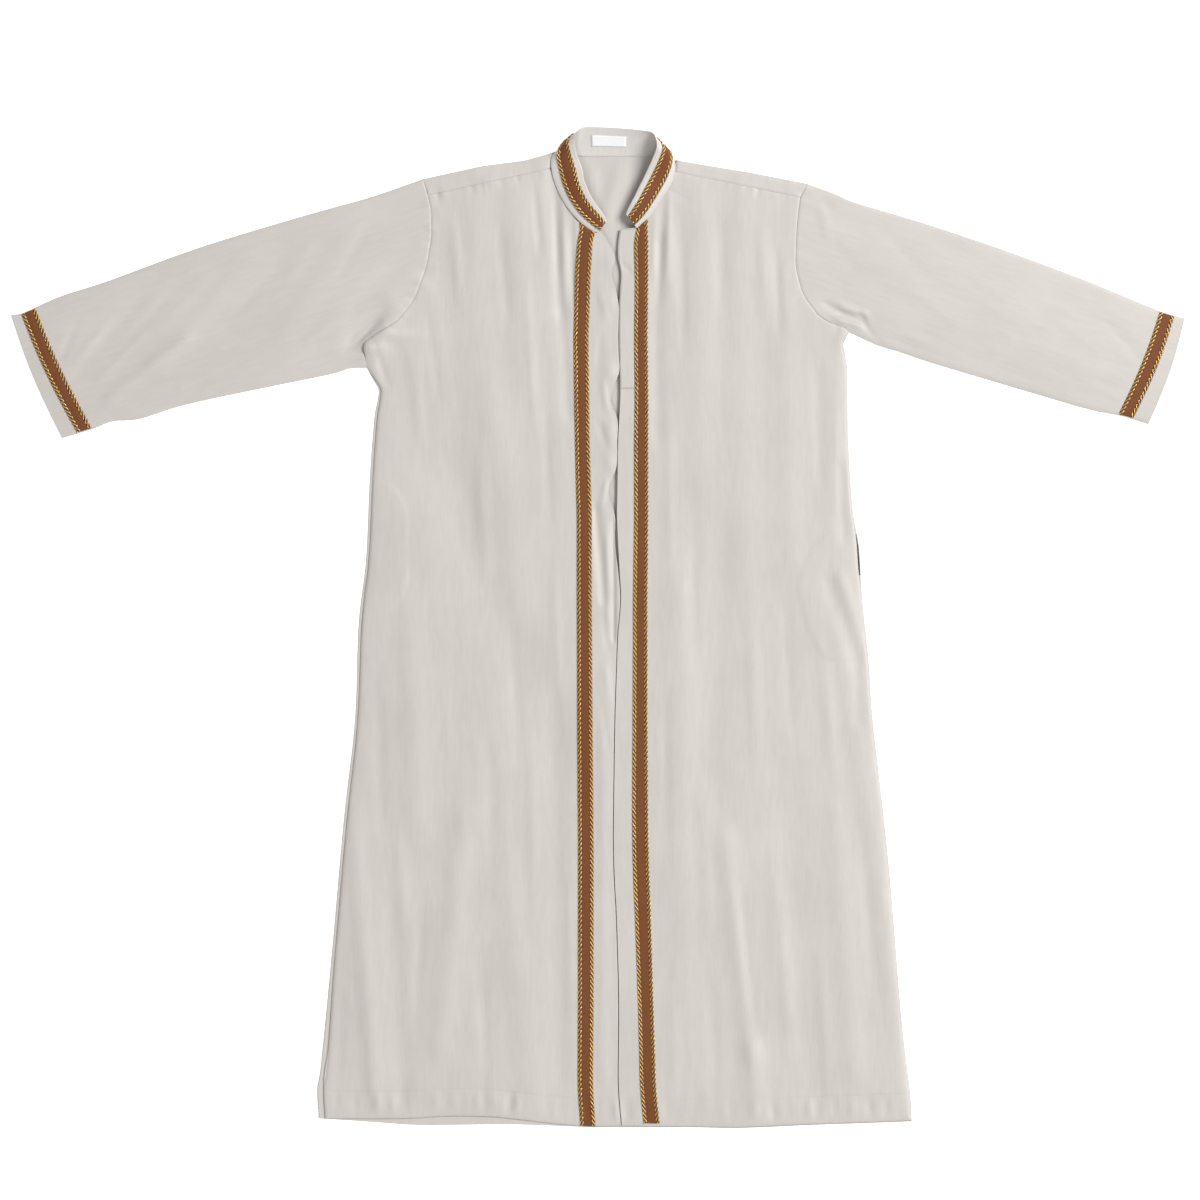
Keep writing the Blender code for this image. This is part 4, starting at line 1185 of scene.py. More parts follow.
@dataclass
class FrontPanel:
    """One front, from the shoulder seam to the hem."""

    side: Side
    relief: ClothRelief
    finish: bpy.types.Material
    side_columns: int = 80
    braid_columns: int = 5
    facing_columns: int = 10
    hem_rows: tuple[float, ...] = (0.10, 0.135, 0.17, 0.205, 0.24)
    rows: Array = field(init=False)
    places: Array = field(init=False)

    def __post_init__(self) -> None:
        """Sets out the rows as side point, outer border, inner border and opening edge."""
        side = self.side
        table = []
        for start, row in zip(ARMHOLE[side][SHOULDER_SEAM_ROW:], NECK[side]):
            table.append((start, (row.out_x, row.out_y), (row.in_x, row.in_y),
                          (row.edge_x, row.edge_y)))
        for start, y in zip(ARMHOLE[side][BRAID_TOP_ROW + 1:], FRONT_Y[side]):
            edge, inner, outer = edge_places(side, y)
            table.append((start, (outer, y), (inner, y), (edge, y)))
        last = UPPER_LEVELS[-1]
        step = (HEM_LEVEL - last) / LOWER_LEVELS
        lower = [last + step * (index + 1) for index in range(LOWER_LEVELS)]
        for level in (*TURN[side], *(Level(y, y) for y in (*UPPER_LEVELS, *lower))):
            edge, inner, outer = edge_places(side, level.front_y)
            y = level.front_y
            start = (float(side_edge(side, level.side_y)), level.side_y)
            table.append((start, (outer, y), (inner, y), (edge, y)))
        rows = np.array(table, float)
        lengths = np.linalg.norm(np.diff(rows[:, :2], axis=0), axis=2).max(1)
        places = spaced(lengths, CELL, edge_first=True, edge_last=True)
        stitched = len(lengths) - 1 + np.array(self.hem_rows)
        self.places = np.unique(np.concatenate((places, stitched)))
        self.rows = spline(rows, self.places, (NECK_CORNER_ROW, UNDERARM_ROW))

    def plan(self) -> Array:
        """Plan points by row and column, from the side to the opening.

        Returns:
            Points in plan.
        """
        start, outer, inner, edge = (self.rows[:, index] for index in range(4))
        wide = between(start, outer, edged(self.side_columns, 300.0))
        under = between(outer, inner, np.linspace(0, 1, self.braid_columns + 1)[1:])
        facing = between(inner, edge, edged(self.facing_columns, 20.0)[1:])
        return hung(np.concatenate((wide, under, facing), axis=1), FRONT_HEM)

    def borders(self) -> tuple[Array, Array, Array]:
        """Braid's outer and inner border and the opening edge, from just under the neck seam.

        Returns:
            Three courses in plan, row by row.
        """
        kept = self.places >= BRAID_TOP_ROW - SHOULDER_SEAM_ROW
        return tuple(hung(self.rows[kept, index], FRONT_HEM) for index in (1, 2, 3))

    def braid_borders(self) -> tuple[Array, Array]:
        """Braid's two borders, from under the collar down to its end at the hem.

        Returns:
            Two courses in plan, row by row.
        """
        courses = []
        for start, course in zip(BRAID_TOPS[self.side], self.borders()[:2]):
            kept = course[:len(course) - BRAID_FREE_ROWS[self.side]]
            courses.append(np.vstack((start, kept)))
        return courses[0], courses[1]

    def lift(self, plan: Array) -> Array:
        """How far the front stands up off its neighbours, where it laps over them.

        Args:
            plan: points in plan.

        Returns:
            A height for each point.
        """
        total = np.zeros(plan.shape[:-1])
        for lap in LAPS[self.side]:
            away = (plan - np.array((lap.x, lap.y))) / np.array((lap.wide, lap.tall))
            total += lap.height * np.exp(-(away ** 2).sum(-1))
        return total

    def build(self) -> bpy.types.Object:
        """Builds and dresses the front.

        Returns:
            The piece.
        """
        plan = self.plan()
        top = self.relief.height(plan) + self.lift(plan)
        points = walled(plan, top - CLOTH, top)
        word = self.side.name.lower()
        piece = lay_mesh(f"front_{word}_cloth", points)
        return dressed(piece, self.finish, "cloth", f"front_{word}")


@dataclass
class BackPanel:
    """Back on the surface, with the strips that fold over both shoulders to the front."""

    relief: ClothRelief
    finish: bpy.types.Material
    shoulder_columns: int = 30
    neck_columns: int = 26
    fold_steps: int = 8
    neck_reach: float = 4.0
    cell: float = 8.0
    taper: float = 0.8
    lifts: tuple[Crease, ...] = tuple(Crease(*row) for row in (
        (-120, 560, -90, 380, 14, 0.8), (36, 626, 0, 540, 10, 3.4), (-14, 634, 0, 560, 8, 2.6),
        (72, 625, 50, 540, 8, 1.2), (20, 560, 26, 440, 12, 0.8),
        (140, 540, 120, 300, 16, 0.8), (-210, 60, -170, -300, 18, 0.9), (-40, 200, -60, -120, 15, 0.7),
        (60, -60, 90, -420, 18, 0.9), (210, 20, 250, -330, 16, 0.8), (-280, -330, -260, -600, 13, 0.7),
        (300, -380, 330, -610, 12, 0.7), (-120, -400, -150, -620, 14, 0.6), (160, -440, 150, -630, 12, 0.6)))

    def columns(self) -> Array:
        """Places across the top edge, with the neck's ends among them."""
        ends = (BACK_TOP[0].x, NECK_FROM_X, NECK_TO_X, BACK_TOP[-1].x)
        near = np.array((0.0, 1.0, 2.2))
        right = np.append(ends[0] + near, np.linspace(ends[0] + 4, ends[1], self.shoulder_columns - 2))
        neck = np.linspace(ends[1], ends[2], self.neck_columns + 1)
        left = np.append(np.linspace(ends[2], ends[3] - 4, self.shoulder_columns - 2), ends[3] - near[::-1])
        return np.concatenate((right, neck[1:], left[1:]))

    def lift(self, plan: Array) -> Array:
        """How far soft creases lift the back off the surface.

        Args:
            plan: points by row and column.

        Returns:
            A height for each point.
        """
        flat = plan.reshape(-1, 2)
        total = np.zeros(len(flat))
        for crease in self.lifts:
            along, across, _ = crease_reach(crease, flat)
            taper = np.sin(pi * np.clip(along, 0.0, 1.0)) ** self.taper
            total += crease.height * np.exp(-(across / crease.width) ** 2) * taper
        return total.reshape(plan.shape[:-1])

    def build(self) -> bpy.types.Object:
        """Builds and dresses the back.

        Returns:
            The piece.
        """
        places = self.columns()
        across = (places - places[0]) / (places[-1] - places[0])
        top_y = np.interp(places, [place.x for place in BACK_TOP], [place.y for place in BACK_TOP])
        ends = {side: [place[:2] for place in OUTLINE[side][:0:-1]]
                + [ARMHOLE[side][index][:2] for index in LOWER_ROWS[:0:-1]] for side in Side}
        body = hung(between(ends[Side.RIGHT], ends[Side.LEFT], across), BACK_HEM)
        count = self.shoulder_columns
        reach = np.full(len(places), -FOLD_RADIUS)
        reach[count + 1:-count - 1] = self.neck_reach
        fold_row = np.stack((places, top_y + reach), 1)
        table = np.concatenate((body, fold_row[None]))
        lengths = np.linalg.norm(np.diff(table[:, [0, -1]], axis=0), axis=2).max(1)
        flat_places = spaced(lengths, self.cell, edge_first=True, edge_last=True)
        underarm = len(OUTLINE[Side.RIGHT]) - 2
        plan = spline(table, flat_places, (underarm, underarm + 1, len(table) - 2))
        low = self.lift(plan)
        layers = [walled(plan, low + CLOTH, low)]
        north = np.array((0.0, 1.0))
        layers.append(np.array([fold_step(fold_row, north, step, self.fold_steps)
                                for step in range(1, self.fold_steps + 1)]))
        strips = self.strips(fold_row, places)
        top = self.relief.height(strips)
        layers.append(walled(strips, top - CLOTH, top))
        points = np.concatenate(layers)
        keep = np.ones((len(points) - 1, len(places) - 1), bool)
        keep[len(plan) - 1:, self.shoulder_columns:-self.shoulder_columns] = False
        piece = lay_mesh("back_cloth", points, keep=keep)
        return dressed(piece, self.finish, "cloth", "back")

    def strips(self, fold_row: Array, places: Array) -> Array:
        """Plan points of the shoulder strips, from the fold to the shoulder seam.

        Args:
            fold_row: plan points at the fold.
            places: x of each column.

        Returns:
            Points by row and column; the neck's columns stay at the fold.
        """
        table = np.repeat(fold_row[None], 3, axis=0)
        count = self.shoulder_columns
        for row in (1, SHOULDER_SEAM_ROW):
            for side, columns in ((Side.RIGHT, slice(0, count + 1)), (Side.LEFT, slice(-count - 1, None))):
                neck, outer = STRIP_NECK[side][row - 1], ARMHOLE[side][row]
                first, second = (outer, neck) if side is Side.RIGHT else (neck, outer)
                span = places[columns]
                line = between([first[:2]], [second[:2]], (span - span[0]) / (span[-1] - span[0]))[0]
                line[:, 1] += SEAM_GAP if row == SHOULDER_SEAM_ROW else 0.0
                table[row, columns] = line
        return spline(table, spaced((12.0, 10.0), 3.0, edge_last=True)[1:])


@dataclass
class Sleeve:
    """Sleeve: a flattened tube with a rounded fold along its top and its bottom."""

    side: Side
    relief: ClothRelief
    finish: bpy.types.Material
    fold_steps: int = 6
    cell: float = 3.6
    cuff_bow: float = 4.5
    armhole_fade: float = 6.0
    top: Line = field(init=False)
    bottom: Line = field(init=False)

    def __post_init__(self) -> None:
        """Sets out the folded edges."""
        self.top = Line.smooth(SLEEVE_TOP[self.side], 4)
        self.bottom = Line.smooth(SLEEVE_BOTTOM[self.side], 4)

    def rings(self) -> tuple[Array, Array]:
        """Shares along the two folded edges at the cuff braid's borders and the cuff.

        Returns:
            Shares along the top edge and along the bottom edge.
        """
        top = 1 - np.array(CUFF_RINGS_TOP) / self.top.length()
        bottom = 1 - np.array(CUFF_RINGS_BOTTOM) / self.bottom.length()
        return top, bottom

    def stations(self) -> tuple[Array, Array]:
        """Shares along the two folded edges at each station, from armhole to cuff.

        Returns:
            Shares along the top edge and along the bottom edge.
        """
        top, bottom = self.rings()
        table = np.array(((0.0, 0.0), *zip(top, bottom)))
        lengths = np.diff(table[:, 0]) * self.top.length()
        places = spaced(lengths, self.cell, edge_first=True, edge_last=True)
        return (np.interp(places, range(len(table)), table[:, 0]),
                np.interp(places, range(len(table)), table[:, 1]))

    def plan(self, top_shares: Array, bottom_shares: Array) -> tuple[Array, Array, Array]:
        """Plan points of the upper layer, clear of the armhole by the gap.

        Args:
            top_shares: shares along the top edge.
            bottom_shares: shares along the bottom edge.

        Returns:
            Points by station and column, and the directions out of the two folded edges.
        """
        armhole = np.array([place[:2] for place in ARMHOLE[self.side]], float)
        spacing = np.linalg.norm(np.diff(armhole, axis=0), axis=1)
        seam = spline(armhole, spaced(spacing, self.cell, edge_first=True, edge_last=True))
        run = np.gradient(seam, axis=0)
        run /= np.linalg.norm(run, axis=1)[:, None]
        seam = seam - np.stack((run[:, 1], -run[:, 0]), 1) * SEAM_GAP * self.side.value
        shares = Line(seam).lengths / Line(seam).length()
        starts, ends = self.top.at(top_shares), self.bottom.at(bottom_shares)
        inward = (ends - starts) / np.linalg.norm(ends - starts, axis=1)[:, None]
        rows = between(starts + inward * FOLD_RADIUS, ends - inward * FOLD_RADIUS, shares)
        first = between(starts[:1], ends[:1], shares)[0]
        fade = ((1 - top_shares) ** self.armhole_fade)[:, None, None]
        inner = ((0 < shares) & (shares < 1))[None, :, None]
        rows = rows + fade * (seam - first)[None] * inner
        bow = self.cuff_bow * (top_shares ** 3)[:, None] * np.sin(pi * shares)[None]
        rows[..., 0] += self.side.value * bow
        top_out, bottom_out = -inward, inward.copy()
        if top_shares[0] == 0:
            top_out[0] = (0.0, 1.0)
            bottom_out[0] = (seam[-1] - seam[-2]) / np.linalg.norm(seam[-1] - seam[-2])
            rows[0] = seam
            rows[0, 0] = seam[0] - top_out[0] * FOLD_RADIUS
            rows[0, -1] = seam[-1] - bottom_out[0] * FOLD_RADIUS
        return rows, top_out, bottom_out

    def fold(self, middle: Array, outward: Array, steps: Sequence[int]) -> Array:
        """Points round a folded edge.

        Args:
            middle: where the upper layer ends, by station.
            outward: direction out of the fold, by station.
            steps: steps round the fold, from the lower layer to the upper one.

        Returns:
            Points by station, step and layer.
        """
        return np.stack([fold_step(middle, outward, step, self.fold_steps) for step in steps], axis=1)

    def build(self) -> bpy.types.Object:
        """Builds and dresses the sleeve.

        Returns:
            The piece.
        """
        rows, top_out, bottom_out = self.plan(*self.stations())
        height = self.relief.height(rows)
        height[:, [0, -1]] = FOLD_EDGE
        upper = walled(rows, height - CLOTH, height)
        steps = range(1, self.fold_steps)
        lower_plan = rows[:, ::-1]
        level = np.zeros(lower_plan.shape[:2])
        lower = walled(lower_plan, level + CLOTH, level)
        points = np.concatenate((upper, self.fold(rows[:, -1], bottom_out, steps[::-1]), lower,
                                 self.fold(rows[:, 0], top_out, steps)), axis=1)
        word = self.side.name.lower()
        piece = lay_mesh(f"sleeve_{word}_cloth", points, ring=True)
        return dressed(piece, self.finish, "cloth", f"sleeve_{word}")


@dataclass
class Course:
    """Course of a strip over what carries it."""

    place: Callable[[float, float], Array]
    length: float

    def fabric(self, rows: int, width: float, profile: Sequence[ProfilePoint]) -> Array:
        """Pattern coordinates of a strip: across it and along it, in metres."""
        across = np.array([point.across for point in profile]) * width * MM
        along = np.linspace(0, self.length, rows) * MM
        return np.dstack(np.broadcast_arrays(across[None, :], along[:, None]))


@dataclass
class BraidTrim:
    """Braid: a brown woven tape under two ropes, each a dark core between gold plies; the core is a brown
    thread darkened near black as painted shade in the gaps between the plies.
    """

    name: str
    course: Course
    width: float
    twists: tuple[Twist, Twist]
    tape_finish: bpy.types.Material
    rope_finish: bpy.types.Material
    core_and_gap_shade_finish: bpy.types.Material
    pitch: float = 6.5
    ply_width: float = 0.92
    ply_height: float = 0.8
    spread: float = 1.85
    rise: float = 0.55
    tape_lift: float = 0.05
    rope_lift: float = 0.75
    core_width: float = 2.3
    core_height: float = 0.7
    rope_places: tuple[float, float] = (0.12, 0.88)
    sides: int = 7
    steps: int = 12
    profile: tuple[ProfilePoint, ...] = tuple(ProfilePoint(*row) for row in (
        (0.04, 0.3), (0.08, 0.45), (0.15, 0.5), (0.24, 0.7), (0.36, 0.95), (0.5, 1.0), (0.64, 0.95),
        (0.76, 0.7), (0.85, 0.5), (0.92, 0.45), (0.96, 0.3)))

    def tape(self) -> bpy.types.Object:
        """Builds the woven tape.

        Returns:
            The tape's object.
        """
        layers = []
        for point in self.profile:
            faces = [self.course.place(point.across, lift)
                     for lift in (self.tape_lift, self.tape_lift + point.height)]
            layers.append(np.stack(faces, axis=1))
        points = np.stack(layers, axis=1)
        fabric = self.course.fabric(len(points), self.width, self.profile)
        return lay_mesh(f"{self.name}_tape", points, fabric=fabric)

    def rope_frame(self, share: float) -> tuple[Array, Array, Array, Array]:
        """Axis of a rope at even steps.

        Args:
            share: the rope's place across the tape.

        Returns:
            Points, directions across and up, and lengths along the rope.
        """
        low, high = (self.course.place(share, self.rope_lift + lift) for lift in (0.0, 1.0))
        lengths = run_lengths(low)
        count = int(lengths[-1] / (2 * self.pitch / self.steps))
        along = np.linspace(0, lengths[-1], count + 1)
        axis = at_lengths(along, lengths, low)
        up = at_lengths(along, lengths, high - low)
        run = np.gradient(axis, axis=0)
        across = np.cross(run, up)
        across /= np.linalg.norm(across, axis=1)[:, None]
        up /= np.linalg.norm(up, axis=1)[:, None]
        return axis, across, up, along

    def ropes(self) -> bpy.types.Object:
        """Builds both ropes: a dark core each, whose near-black colour is partly painted shade between the
        plies, with two gold plies round it.

        Returns:
            The ropes' object.
        """
        mesh = bmesh.new()
        layer = mesh.loops.layers.uv.new("fabric")
        for share, twist in zip(self.rope_places, self.twists):
            axis, across, up, along = self.rope_frame(share)
            self.strand(mesh, layer, axis, across, up, along, (self.core_width, self.core_height), 1)
            for phase in (0.0, pi):
                turn = twist.value * along * pi / self.pitch + phase
                centre = (axis + across * (self.spread * np.cos(turn))[:, None]
                          + up * (self.rise * np.sin(turn))[:, None])
                self.strand(mesh, layer, centre, across, up, along, (self.ply_width, self.ply_height), 0)
        bmesh.ops.recalc_face_normals(mesh, faces=mesh.faces)
        return finished(f"{self.name}_ropes", mesh)

    def strand(self, mesh: bmesh.types.BMesh, layer: object, centre: Array, across: Array, up: Array,
               along: Array, radii: tuple[float, float], finish: int) -> None:
        """Adds one strand to the ropes' mesh, as a grid wrapped round its centre line.

        Args:
            mesh: the ropes' mesh.
            layer: its pattern coordinates.
            centre: centre line, a point for each step.
            across: direction across at each step.
            up: direction up at each step.
            along: length along the rope at each step.
            radii: half its width and half its height.
            finish: number of its material on the piece.
        """
        new = bmesh.ops.create_grid(mesh, x_segments=self.sides, y_segments=len(centre) - 1, size=0.5)
        angles = np.linspace(0, 2 * pi, self.sides + 1)
        wide, high = radii[0] * np.cos(angles), radii[1] * np.sin(angles)
        round_it = 2 * pi * radii[0]
        ends = [vertex for vertex in new["verts"] if abs(abs(vertex.co.y) - 0.5) < 1e-6]
        faces = {face for vertex in new["verts"] for face in vertex.link_faces}
        for face in faces:
            face.material_index = finish
            for loop in face.loops:
                loop[layer].uv = ((loop.vert.co.x + 0.5) * round_it * MM,
                                  along[round((loop.vert.co.y + 0.5) * (len(along) - 1))] * MM)
        for vertex in new["verts"]:
            step = round((vertex.co.y + 0.5) * (len(centre) - 1))
            side = round((vertex.co.x + 0.5) * self.sides)
            place = centre[step] + across[step] * wide[side] + up[step] * high[side]
            vertex.co = place * MM
        bmesh.ops.remove_doubles(mesh, verts=new["verts"], dist=WELD)
        rims = {edge for vertex in ends if vertex.is_valid for edge in vertex.link_edges
                if edge.is_boundary}
        bmesh.ops.holes_fill(mesh, edges=list(rims), sides=self.sides)

    def build(self, *nodes: str) -> list[bpy.types.Object]:
        """Builds and dresses the braid.

        Args:
            nodes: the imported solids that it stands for.

        Returns:
            The tape and the ropes.
        """
        tape = dressed(self.tape(), self.tape_finish, "braid", *nodes)
        ropes = dressed(self.ropes(), self.rope_finish, "braid")
        ropes.data.materials.append(self.core_and_gap_shade_finish)
        return [tape, ropes]


@dataclass
class CollarBand:
    """Stand collar band round the neck seam."""

    relief: ClothRelief
    finish: bpy.types.Material
    across_columns: int = 12
    braid_from: float = 0.25
    braid_to: float = 0.81
    cell: float = 3.5
    rounding: float = 0.35
    rounded_share: float = 0.03
    leans: tuple[float, ...] = (*(0.62,) * 7, 0.75, 0.9, *(1.0,) * 15)
    places: Array = field(init=False)
    feet: Array = field(init=False)
    rise: Array = field(init=False)
    bellies: Array = field(init=False)
    out: Array = field(init=False)

    def __post_init__(self) -> None:
        """Sets out the stations from the collar's table."""
        feet, frees = [], []
        for row, lean in zip(COLLAR, self.leans):
            seam = np.array((row.seam_x, row.seam_y), float)
            on_cloth = float(self.relief.height(seam[None])[0])
            foot_z = on_cloth if row.rest == 1 else max(row.rest * (FOLD_EDGE + GAP), BAND + 0.1)
            feet.append((*seam, foot_z))
            frees.append((row.free_x, row.free_y, row.free_z * lean))
        feet, frees = np.array(feet), np.array(frees, float)
        lengths = np.linalg.norm(np.diff((feet + frees) / 2, axis=0), axis=1)
        self.places = spaced(lengths, self.cell, edge_first=True, edge_last=True)
        self.feet = spline(feet, self.places)
        self.rise = spline(frees, self.places) - self.feet
        bellies = [[row.belly * lean ** 2] for row, lean in zip(COLLAR, self.leans)]
        self.bellies = spline(np.array(bellies, float), self.places)
        run = np.gradient(spline(feet + frees, self.places) / 2, axis=0)
        out = np.cross(self.rise, run)
        self.out = out / np.linalg.norm(out, axis=1)[:, None]

    def face(self, share: float, lift: float) -> Array:
        """Points of the band at a share across it.

        Args:
            share: from 0 at the seam to 1 at the free edge.
            lift: distance out of the inner face.

        Returns:
            A point for each station.
        """
        curve = 4 * share * (1 - share) * self.bellies
        return self.feet + self.rise * share + self.out * (curve + lift)

    def middle_lengths(self) -> Array:
        """Length along the band at each station."""
        return run_lengths(self.face(0.5, 0.0))

    def build(self) -> bpy.types.Object:
        """Builds and dresses the band.

        Returns:
            The piece.
        """
        shares = edged(self.across_columns, BAND_HEIGHT)
        layers = []
        for share in shares:
            rounding = self.rounding * max(0.0, 1 - min(share, 1 - share) / self.rounded_share)
            layers.append(np.stack((self.face(share, rounding), self.face(share, BAND - rounding)), axis=1))
        points = np.stack(layers, axis=1)
        lengths = self.middle_lengths() * MM
        fabric = np.dstack(np.broadcast_arrays(lengths[:, None], (shares * BAND_HEIGHT * MM)[None, :]))
        piece = lay_mesh("collar_band", points, fabric=fabric)
        return dressed(piece, self.finish, "collar_cloth", "collar")

    def braid_course(self) -> Course:
        """Course of the braid on the band's outer face."""
        width = self.braid_to - self.braid_from
        return Course(lambda share, lift: self.face(self.braid_from + width * share, BAND + lift),
                      float(self.middle_lengths()[-1]))


@dataclass
class NeckLabel:
    """Blank white label on the inner face at the back of the collar."""

    collar: CollarBand
    finish: bpy.types.Material
    from_x: float = -11.0
    to_x: float = 40.0
    low: float = 0.33
    high: float = 0.71
    gap: float = 0.1
    wall: float = 0.3
    behind_y: float = 640.0
    rows: int = 9

    def build(self) -> bpy.types.Object:
        """Builds and dresses the label.

        Returns:
            The piece.
        """
        middle = self.collar.face(0.5, 0.0)
        behind = middle[:, 1] > self.behind_y
        kept = behind & (middle[:, 0] > self.from_x) & (middle[:, 0] < self.to_x)
        shares = np.linspace(self.low, self.high, self.rows)
        layers = []
        for share in shares:
            faces = [self.collar.face(share, lift)[kept] for lift in (-self.gap, -self.gap - self.wall)]
            layers.append(np.stack(faces, axis=1))
        points = np.stack(layers, axis=1)
        along = self.collar.middle_lengths()[kept] * MM
        fabric = np.dstack(np.broadcast_arrays(along[:, None], (shares * BAND_HEIGHT * MM)[None, :]))
        piece = lay_mesh("label_blank", points, fabric=fabric)
        return dressed(piece, self.finish, "label", "label")


@dataclass
class Placket:
    """Fly strip on the left front, between its opening edge and the braid."""

    front: FrontPanel
    relief: ClothRelief
    finish: bpy.types.Material
    inset: float = 1.2
    lift: float = 0.05
    wall: float = 0.4
    end_wall: float = 0.12
    fade: float = 9.0

    def build(self) -> bpy.types.Object:
        """Builds and dresses the strip.

        Returns:
            The piece.
        """
        _, inner, edge = self.front.borders()
        kept = edge[:, 1] >= PLACKET_END_Y
        width = np.linalg.norm(edge - inner, axis=1)[kept]
        shares = edged(5, 20.0)
        skip = self.inset / float(width.mean())
        plan = between(inner[kept], edge[kept], skip + (1 - 2 * skip) * shares)
        top = self.relief.height(plan)
        fade = np.clip((plan[..., 1] - PLACKET_END_Y) / self.fade, 0.0, 1.0)
        outer = top + self.end_wall + (self.wall - self.end_wall) * fade
        points = walled(plan, top + self.lift, outer)
        piece = lay_mesh("placket_strip", points)
        return dressed(piece, self.finish, "cloth", "placket")


@dataclass
class PocketBag:
    """Pocket bag between front and back; its near-black finish is painted shade for the dark inside of the
    pocket slit.
    """

    side: Side
    finish: bpy.types.Material
    to_outline: float = 9.0
    at_mouth: float = 1.3
    cell: float = 6.0
    mouth_slope: float = 6.0
    section: tuple[ProfilePoint, ...] = tuple(ProfilePoint(*row) for row in (
        (0.0, 0.5), (0.05, 0.75), (0.2, 1.0), (0.45, 1.0), (0.7, 1.0), (0.95, 0.75), (1.0, 0.5)))

    def build(self) -> bpy.types.Object:
        """Builds and dresses the bag.

        Returns:
            The piece.
        """
        rows = np.array(BAG[self.side], float)
        levels = spline(rows, spaced(-np.diff(rows[:, 0]), self.cell))
        outline = Line.smooth(OUTLINE[self.side], 3).points
        outer = np.interp(levels[:, 0], outline[::-1, 1], outline[::-1, 0])
        to_end = np.minimum(MOUTH_TOP - levels[:, 0], levels[:, 0] - MOUTH_END)
        mouth = np.clip(to_end / self.mouth_slope, 0.0, 1.0)
        back = self.to_outline + (self.at_mouth - self.to_outline) * mouth * (self.side is Side.LEFT)
        outer = outer - self.side.value * back
        layers = []
        low = CLOTH + GAP
        for point in self.section:
            x = levels[:, 1] + (outer - levels[:, 1]) * point.across
            base = np.column_stack((x, levels[:, 0], np.full(len(x), low)))
            layers.append(np.stack((base, base + np.array((0, 0, point.height))), axis=1))
        word = self.side.name.lower()
        piece = lay_mesh(f"pocket_{word}_bag", np.stack(layers, axis=1))
        return dressed(piece, self.finish, "pocket_cloth", f"pocket_{word}")


@dataclass
class Sewing:
    """Rows of stitches, as small rounded pieces of thread."""

    finish: bpy.types.Material
    pitch: float = 3.2
    stitch: float = 2.3
    thick: float = 0.4
    ahead: float = 0.5
    mesh: bmesh.types.BMesh = field(default_factory=bmesh.new)

    def sew(self, points: Array, up: Array, pitch: Optional[float] = None) -> None:
        """Adds a row of stitches.

        Args:
            points: the row's course, in millimetres.
            up: direction out of the cloth at each point.
            pitch: distance from stitch to stitch, where it isn't the usual one.
        """
        step = pitch or self.pitch
        lengths = run_lengths(points)
        for place in np.arange(step, lengths[-1] - step / 2, step):
            centre = Vector(at_lengths(place, lengths, points))
            ahead = Vector(at_lengths(place + self.ahead, lengths, points))
            out = Vector(at_lengths(place, lengths, up)).normalized()
            along = (ahead - centre).normalized()
            across = out.cross(along).normalized()
            turn = Matrix((across * self.thick / 2, out * self.thick / 2,
                           along * step * self.stitch / self.pitch / 2)).transposed().to_4x4()
            spot = Matrix.Translation(centre * MM) @ Matrix.Scale(MM, 4) @ turn
            bmesh.ops.create_uvsphere(self.mesh, u_segments=6, v_segments=4, radius=1, matrix=spot)

    def build(self, name: str, slot: str) -> bpy.types.Object:
        """Dresses all the stitches as one piece.

        Args:
            name: the piece's name.
            slot: the record's material slot.

        Returns:
            The piece.
        """
        return dressed(finished(name, self.mesh), self.finish, slot)


@dataclass
class Studio:
    """Pale floor, soft light and the camera straight above."""

    centre: Place = Place(2.7, 37.8)
    frame_width: float = 1620.0
    lens: float = 150.0
    sensor: float = 36.0
    floor_size: float = 40.0
    world: float = 0.36
    key_place: Vector = field(default_factory=lambda: Vector((5.8, 3.0, 7.0)))
    key_size: float = 4.6
    key_power: float = 960.0
    fill_place: Vector = field(default_factory=lambda: Vector((-1.5, -6.0, 4.6)))
    fill_size: float = 3.6
    fill_power: float = 130.0

    def build(self) -> None:
        """Builds the floor, the lights and the camera."""
        mesh = bmesh.new()
        bmesh.ops.create_grid(mesh, x_segments=1, y_segments=1, size=self.floor_size / 2)
        bmesh.ops.translate(mesh, verts=mesh.verts, vec=(0, 0, -0.0003))
        floor = finished("floor", mesh)
        floor.data.materials.append(FloorFinish().material())
        scene = bpy.context.scene
        scene.world = bpy.data.worlds.new("studio")
        scene.world.use_nodes = True
        ground = scene.world.node_tree.nodes["Background"]
        ground.inputs["Color"].default_value = (1.0, 1.0, 1.0, 1.0)
        ground.inputs["Strength"].default_value = self.world
        scene.view_settings.view_transform = "Standard"
        self.lamp("key", self.key_place, self.key_size, self.key_power)
        self.lamp("fill", self.fill_place, self.fill_size, self.fill_power)
        data = bpy.data.cameras.new("camera")
        data.lens = self.lens
        data.sensor_width = self.sensor
        data.clip_end = 100.0
        camera = bpy.data.objects.new("camera", data)
        distance = self.frame_width * MM * self.lens / self.sensor
        camera.location = (self.centre.x * MM, self.centre.y * MM, distance)
        scene.collection.objects.link(camera)
        scene.camera = camera

    def lamp(self, name: str, place: Vector, size: float, power: float) -> None:
        """Adds a soft lamp that faces the robe.

        Args:
            name: the lamp's name.
            place: where it hangs, in metres.
            size: its width in metres.
            power: its power in watts.
        """
        data = bpy.data.lights.new(name, "AREA")
        data.shape = "DISK"
        data.size = size
        data.energy = power
        lamp = bpy.data.objects.new(name, data)
        lamp.location = place
        lamp.rotation_mode = "QUATERNION"
        lamp.rotation_quaternion = (-place).to_track_quat("-Z", "Y")
        bpy.context.scene.collection.objects.link(lamp)


